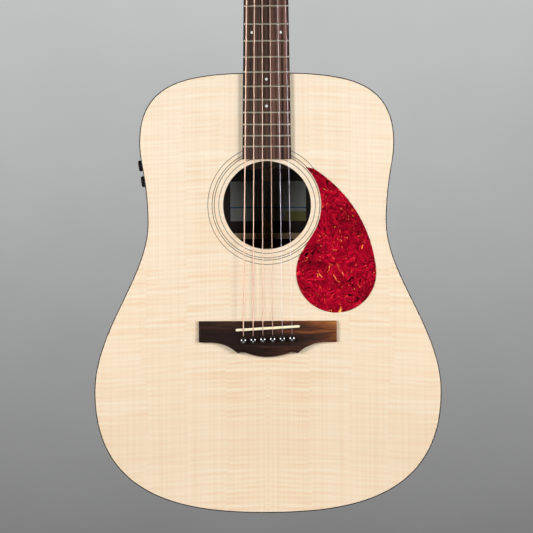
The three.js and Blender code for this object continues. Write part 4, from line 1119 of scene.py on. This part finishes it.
def string_path(i):
    """From the pin hole, over the saddle and the nut, to the tuner post."""
    radius = DIAMETERS[i] / 2
    x, y = pin_place(i)
    nut_x = SPREAD_AT_NUT * (i / 5 - 0.5)
    rise = y - 3.2 - radius
    saddle_y = SADDLE_Y - x * math.tan(SADDLE_SLANT)
    saddle_top = SADDLE_TOP - crown(x)
    post = place_on_head(STRINGS[i])
    inner = -1 if post.x > 0 else 1
    end = HEAD @ Vector((post.x + inner * (POST_WAIST + radius), post.y, WRAP_TOP))
    points = [(x, rise + 0.9, 6), (x, rise, -6.5), (x, rise - 1.6, -BRIDGE_HEIGHT - radius),
              (x, saddle_y, -saddle_top - radius), (nut_x, -0.5, -NUT_TOP - radius),
              (nut_x, -NUT_THICKNESS + 0.8, -NUT_TOP - radius + 0.15), tuple(end)]
    return rounded_path(points, 1.2)


def wrap_path(i, turns=3.0):
    """The string's turns round its post, wound down towards the headstock."""
    radius = DIAMETERS[i] / 2
    post = place_on_head(STRINGS[i])
    inner = -1 if post.x > 0 else 1
    steps = int(turns * 24)
    path = []
    for k in range(steps + 1):
        angle = TAU * k / 24
        reach = POST_WAIST + radius
        sink = WRAP_TOP + min(k / 24, turns - 0.3) * DIAMETERS[i] * 1.02
        local = Vector((post.x + inner * reach * math.cos(angle), post.y - reach * math.sin(angle), sink))
        path.append(tuple(HEAD @ local))
    return path


def make_strings():
    for i, name in enumerate(STRINGS):
        wire = BRONZE_WIRE if i < 4 else PLAIN_WIRE
        radius = DIAMETERS[i] / 2
        stand_for(make_piece("wire_" + name, tube(string_path(i), radius, 10), wire), "string_" + name)
        turns = make_piece("wire_turns_" + name, tube(wrap_path(i), radius, 8), wire)
        add_detail(turns, "tuner_post_" + name)


# ------------------------------------------------------------------ tuners

def rounded_rectangle(width, height, radius, steps=7):
    x, y = width / 2 - radius, height / 2 - radius
    corners = []
    for cx, cy, start in ((x, y, 0), (-x, y, 90), (-x, -y, 180), (x, -y, 270)):
        corners += [(cx + radius * math.cos(a), cy + radius * math.sin(a))
                    for a in np.radians(np.linspace(start, start + 90, steps))]
    return np.array(corners)


def tuner_housing():
    """A cast cover with soft edges, and the boss that the button's shaft comes out of."""
    outline = rounded_rectangle(17, 23.5, 4) + (0, 2.6)
    cover = flat_plate([outline], HEAD_THICKNESS, HEAD_THICKNESS + 9.3, 1.4, 5)
    boss, faces = turned([(0, 7.6), (4.0, 7.6), (4.0, 9.4), (3.4, 10.0), (0, 10.0)], 28)
    out = frame_along((0, 9.6, HEAD_THICKNESS + 4.2), (1, 0, 0))
    return join_shapes([cover, (place(boss, out), faces)])


def tuner_button():
    """An oval finger button on its shaft, about its own z axis."""
    shaft = turned([(0, 6.0), (2.3, 6.0), (2.3, 12.6), (3.4, 13.2), (3.4, 15.2), (0, 15.2)], 24)
    across, along = circle(0, 0, 1).T
    wide = 9.5 * np.sign(across) * np.abs(across) ** 0.86
    tall = 22.0 + 7.7 * np.sign(along) * np.abs(along) ** 0.9
    waist = 1 - 0.22 * (1 - smooth_step(tall, 14, 19))
    points, faces = flat_plate([np.column_stack([wide * waist, tall])], -2.9, 2.9, 1.5, 5)
    upright = np.column_stack([-points[:, 2], points[:, 0], points[:, 1]])
    return join_shapes([shaft, (upright, faces)])


def tuner_post():
    """The string post, waisted where the string winds."""
    return turned([(0, -14.5), (2.2, -14.5), (2.8, -14.2), (3, -13.7), (3, -10.2), (2.75, -9.6), (2.5, -9),
                   (2.5, -4.5), (2.75, -4.0), (3, -3.4), (3, 16), (0, 16)])


def tuner_bushing():
    """A washer and a hexagonal nut on the headstock's face, with the post's hole through them."""
    hole = circle(0, 0, 3.15, 48)
    washer = flat_plate([circle(0, 0, 6.6, 48), hole], -0.8, -0.02, 0.25, 3)
    nut = flat_plate([circle(0, 0, 5.2, 6), hole], -3.0, -0.8, 0.3, 3)
    return join_shapes([washer, nut])


def tuner_screw():
    """The low domed screw in the cover's back."""
    points, faces = turned([(0, -0.9), (0.8, -0.85), (1.5, -0.6), (1.8, 0), (0, 0)], 24)
    return place(points, frame_along((0, 12.6, HEAD_THICKNESS + 9.5), (0, 0, 1))), faces


def make_tuners():
    cover, bushing, screw = tuner_housing(), tuner_bushing(), tuner_screw()
    post, button = tuner_post(), tuner_button()
    for name in STRINGS:
        post_place = place_on_head(name)
        on_head = HEAD @ Matrix.Translation(post_place)
        mirrored = on_head @ Matrix.Scale(1 if post_place.x > 0 else -1, 4, (1, 0, 0))
        turn = joint_frame(f"tuner_button_{name}_turn")
        stand_for(make_piece("tuner_cover_" + name, cover, CHROME, mirrored), "tuner_housing_" + name)
        add_detail(make_piece("tuner_bushing_" + name, bushing, CHROME, on_head), "guitar")
        add_detail(make_piece("tuner_screw_" + name, screw, CHROME, on_head), "guitar")
        stand_for(make_piece("tuner_shaft_" + name, post, CHROME, on_head), "tuner_post_" + name)
        stand_for(make_piece("tuner_grip_" + name, button, CHROME, turn), "tuner_button_" + name)


# ------------------------------------------------------------------ electrics

def make_knobs():
    """Fluted rotary knobs, each with a thin white pointer let into its face."""
    profile = [(0, 6.8), (5.0, 6.8), (5.7, 6.5), (6.15, 5.9), (6.4, 5.2), (6.5, 2.1), (6.2, 1.6), (2.6, 1.6),
               (2.6, -9), (0, -9)]
    knob = turned(profile, 144, flutes=24, flute_depth=0.05)
    pointer = flat_plate([rounded_rectangle(0.8, 4.2, 0.35, 4) + (0, 3.6)], 6.65, 6.86, 0.05, 2)
    for node in ("volume_knob", "tone_knob"):
        turn = joint_frame(node + "_turn")
        stand_for(make_piece(node + "_fluted", knob, BLACK, turn), node)
        add_detail(make_piece(node + "_pointer", pointer, PEARL, turn), node)


def make_endpin_jack():
    """The strap pin: a turned collar, groove and flange with the jack's socket through it."""
    low, high = plan_box("endpin_jack")
    profile = [(3.3, -34), (6, -34), (6, 0.3), (8, 0.3), (8, 1.1), (7.3, 1.5), (6.0, 1.9), (5.3, 2.5),
               (5.2, 4.3), (5.8, 5.0), (6.8, 5.5), (7.4, 5.9), (7.4, 7.0), (7.1, 7.4), (6.4, 7.5), (3.8, 7.5),
               (3.3, 7.1)]
    along = frame_along((0, BODY_BOTTOM, (low[2] + high[2]) / 2), (0, 1, 0), across=(0, 0, 1))
    stand_for(make_piece("endpin_socket", turned(profile, 48, loop=True), CHROME, along), "endpin_jack")


# ------------------------------------------------------------------ CAD nodes that show as they are

def dress_frame_nodes():
    looks = {
        "top_bracing": BRACE_WOOD, "back_bracing": BRACE_WOOD, "bridge_plate": LINING_WOOD,
        "top_lining": LINING_WOOD, "back_lining": LINING_WOOD, "neck_block": BLOCK_WOOD,
        "tail_block": BLOCK_WOOD, "control_plate": BLACK, "preamp_box": BLACK, "truss_rod": STEEL,
        "truss_rod_nut": STEEL,
    }
    for node, material in looks.items():
        piece = frame["nodes"][node]
        piece.data.materials.clear()
        piece.data.materials.append(material)
    bevel = frame["nodes"]["truss_rod_nut"].modifiers.new("round_edges", "BEVEL")
    bevel.width = 0.0003
    bevel.segments = 2
    bevel.limit_method = "ANGLE"
    bevel.angle_limit = math.radians(35)
    bevel.harden_normals = True


# ------------------------------------------------------------------ camera, light and backdrop

def make_camera():
    data = bpy.data.cameras.new("camera")
    data.sensor_width = 36
    data.lens = data.sensor_width * SOUNDBOARD_DISTANCE / VIEW_WIDTH
    camera = bpy.data.objects.new("camera", data)
    camera.location = (VIEW_CENTRE[0], -SOUNDBOARD_DISTANCE, VIEW_CENTRE[1])
    upright = Matrix.Rotation(math.pi / 2, 3, "X")
    camera.rotation_euler = (upright @ Matrix.Rotation(VIEW_ROLL, 3, "Z")).to_euler()
    bpy.context.scene.collection.objects.link(camera)
    bpy.context.scene.camera = camera


def add_light(name, azimuth, height, distance, width, tall, power):
    """A soft box facing the body's middle, at an azimuth from the front."""
    data = bpy.data.lights.new(name, "AREA")
    data.shape = "RECTANGLE"
    data.size, data.size_y, data.energy = width, tall, power
    light = bpy.data.objects.new(name, data)
    angle = math.radians(azimuth)
    target = Vector((0, 0, VIEW_CENTRE[1]))
    light.location = target + Vector((math.sin(angle) * distance, -math.cos(angle) * distance, height))
    light.rotation_euler = (target - light.location).to_track_quat("-Z", "Y").to_euler()
    light.visible_camera = False
    bpy.context.scene.collection.objects.link(light)
    return light


def make_stage():
    """A round studio: a pale floor far below the hung guitar, curving up into a grey wall."""
    floor, radius, bend, top = -3.4, 9.0, 3.0, 7.0
    profile = [(0, floor), (radius - bend, floor)]
    profile += [(radius - bend + bend * math.sin(a), floor + bend * (1 - math.cos(a)))
                for a in np.linspace(0.1, math.pi / 2, 14)]
    profile.append((radius, top))
    sides = 96
    points = [(r * math.cos(TAU * k / sides), r * math.sin(TAU * k / sides), z)
              for r, z in profile for k in range(sides)]
    corners = [(i * sides, k, (k + 1) % sides) for i in range(len(profile) - 1) for k in range(sides)]
    faces = [(row + k, row + after, row + sides + after, row + sides + k) for row, k, after in corners]
    mesh = bpy.data.meshes.new("studio")
    mesh.from_pydata(points, [], faces)
    for polygon in mesh.polygons:
        polygon.use_smooth = True
    studio = bpy.data.objects.new("studio", mesh)
    bpy.context.scene.collection.objects.link(studio)
    mesh.materials.append(studio_paint())
    studio.visible_diffuse = False
    studio.visible_glossy = False
    studio.visible_shadow = False


def studio_paint():
    """Grey paint lit evenly from within, lighter higher up and on the axis behind the guitar."""
    look = Look("studio_paint", Roughness=0.9, Specular_IOR_Level=0.1, Emission_Strength=1.0,
                Base_Color=(0.04, 0.04, 0.04, 1))
    x, _, z = look.axes()
    height = look.remap(z, -2.2, 1.1)
    away = look.remap(look.math("ABSOLUTE", x), 0.0, 1.8, 1.0, 0.96)
    uneven = look.ramp(look.noise((0.9, 0.9, 0.9)), (0.3, 0.96), (0.7, 1.03))
    shade = look.ramp(height, (0.0, (0.205, 0.206, 0.206)), (0.35, (0.325, 0.328, 0.328)),
                      (0.7, (0.460, 0.465, 0.465)), (1.0, (0.540, 0.548, 0.548)))
    look.feed(look.shader.inputs["Emission Color"], look.times(look.times(shade, away), uneven))
    return look.material


def make_world():
    """Soft fill from all round, darker on the camera's side so that dark gloss stays dark."""
    world = bpy.data.worlds.new("studio_air")
    world.use_nodes = True
    nodes = Nodes(world.node_tree)
    direction = nodes.node("TexCoord").outputs["Generated"]
    forward = nodes.node("SeparateXYZ", {0: direction}).outputs["Y"]
    fill = nodes.ramp(nodes.remap(forward, -1.0, 1.0), (0.0, (0.032, 0.030, 0.029)),
                      (0.12, (0.053, 0.050, 0.048)), (0.40, (0.21, 0.20, 0.19)), (1.0, (0.31, 0.30, 0.29)))
    nodes.feed(world.node_tree.nodes["Background"].inputs["Color"], fill)
    bpy.context.scene.world = world


def make_light():
    for side in (-1, 1):
        add_light("softbox_front", side * 42, 0.25, 2.2, 0.85, 0.9, 35.5)
        add_light("softbox_behind", side * 140, 0.4, 2.4, 1.5, 2.0, 25)
    card = add_light("gloss_card", 0, -1.3, 2.2, 1.6, 0.8, 14)
    card.visible_diffuse = False
    bpy.context.scene.view_settings.view_transform = "Standard"
    bpy.context.scene.view_settings.look = "None"


make_camera()
make_stage()
make_world()
make_light()
make_soundboard()
make_rosette()
make_bindings()
make_sides()
make_back()
make_label()
make_pickguard()
make_bridge()
make_saddle()
make_bridge_pins()
make_neck()
make_headstock_plate()
make_fretboard()
make_fretboard_edges()
make_frets()
make_dots()
make_nut()
make_strings()
make_tuners()
make_knobs()
make_endpin_jack()
dress_frame_nodes()
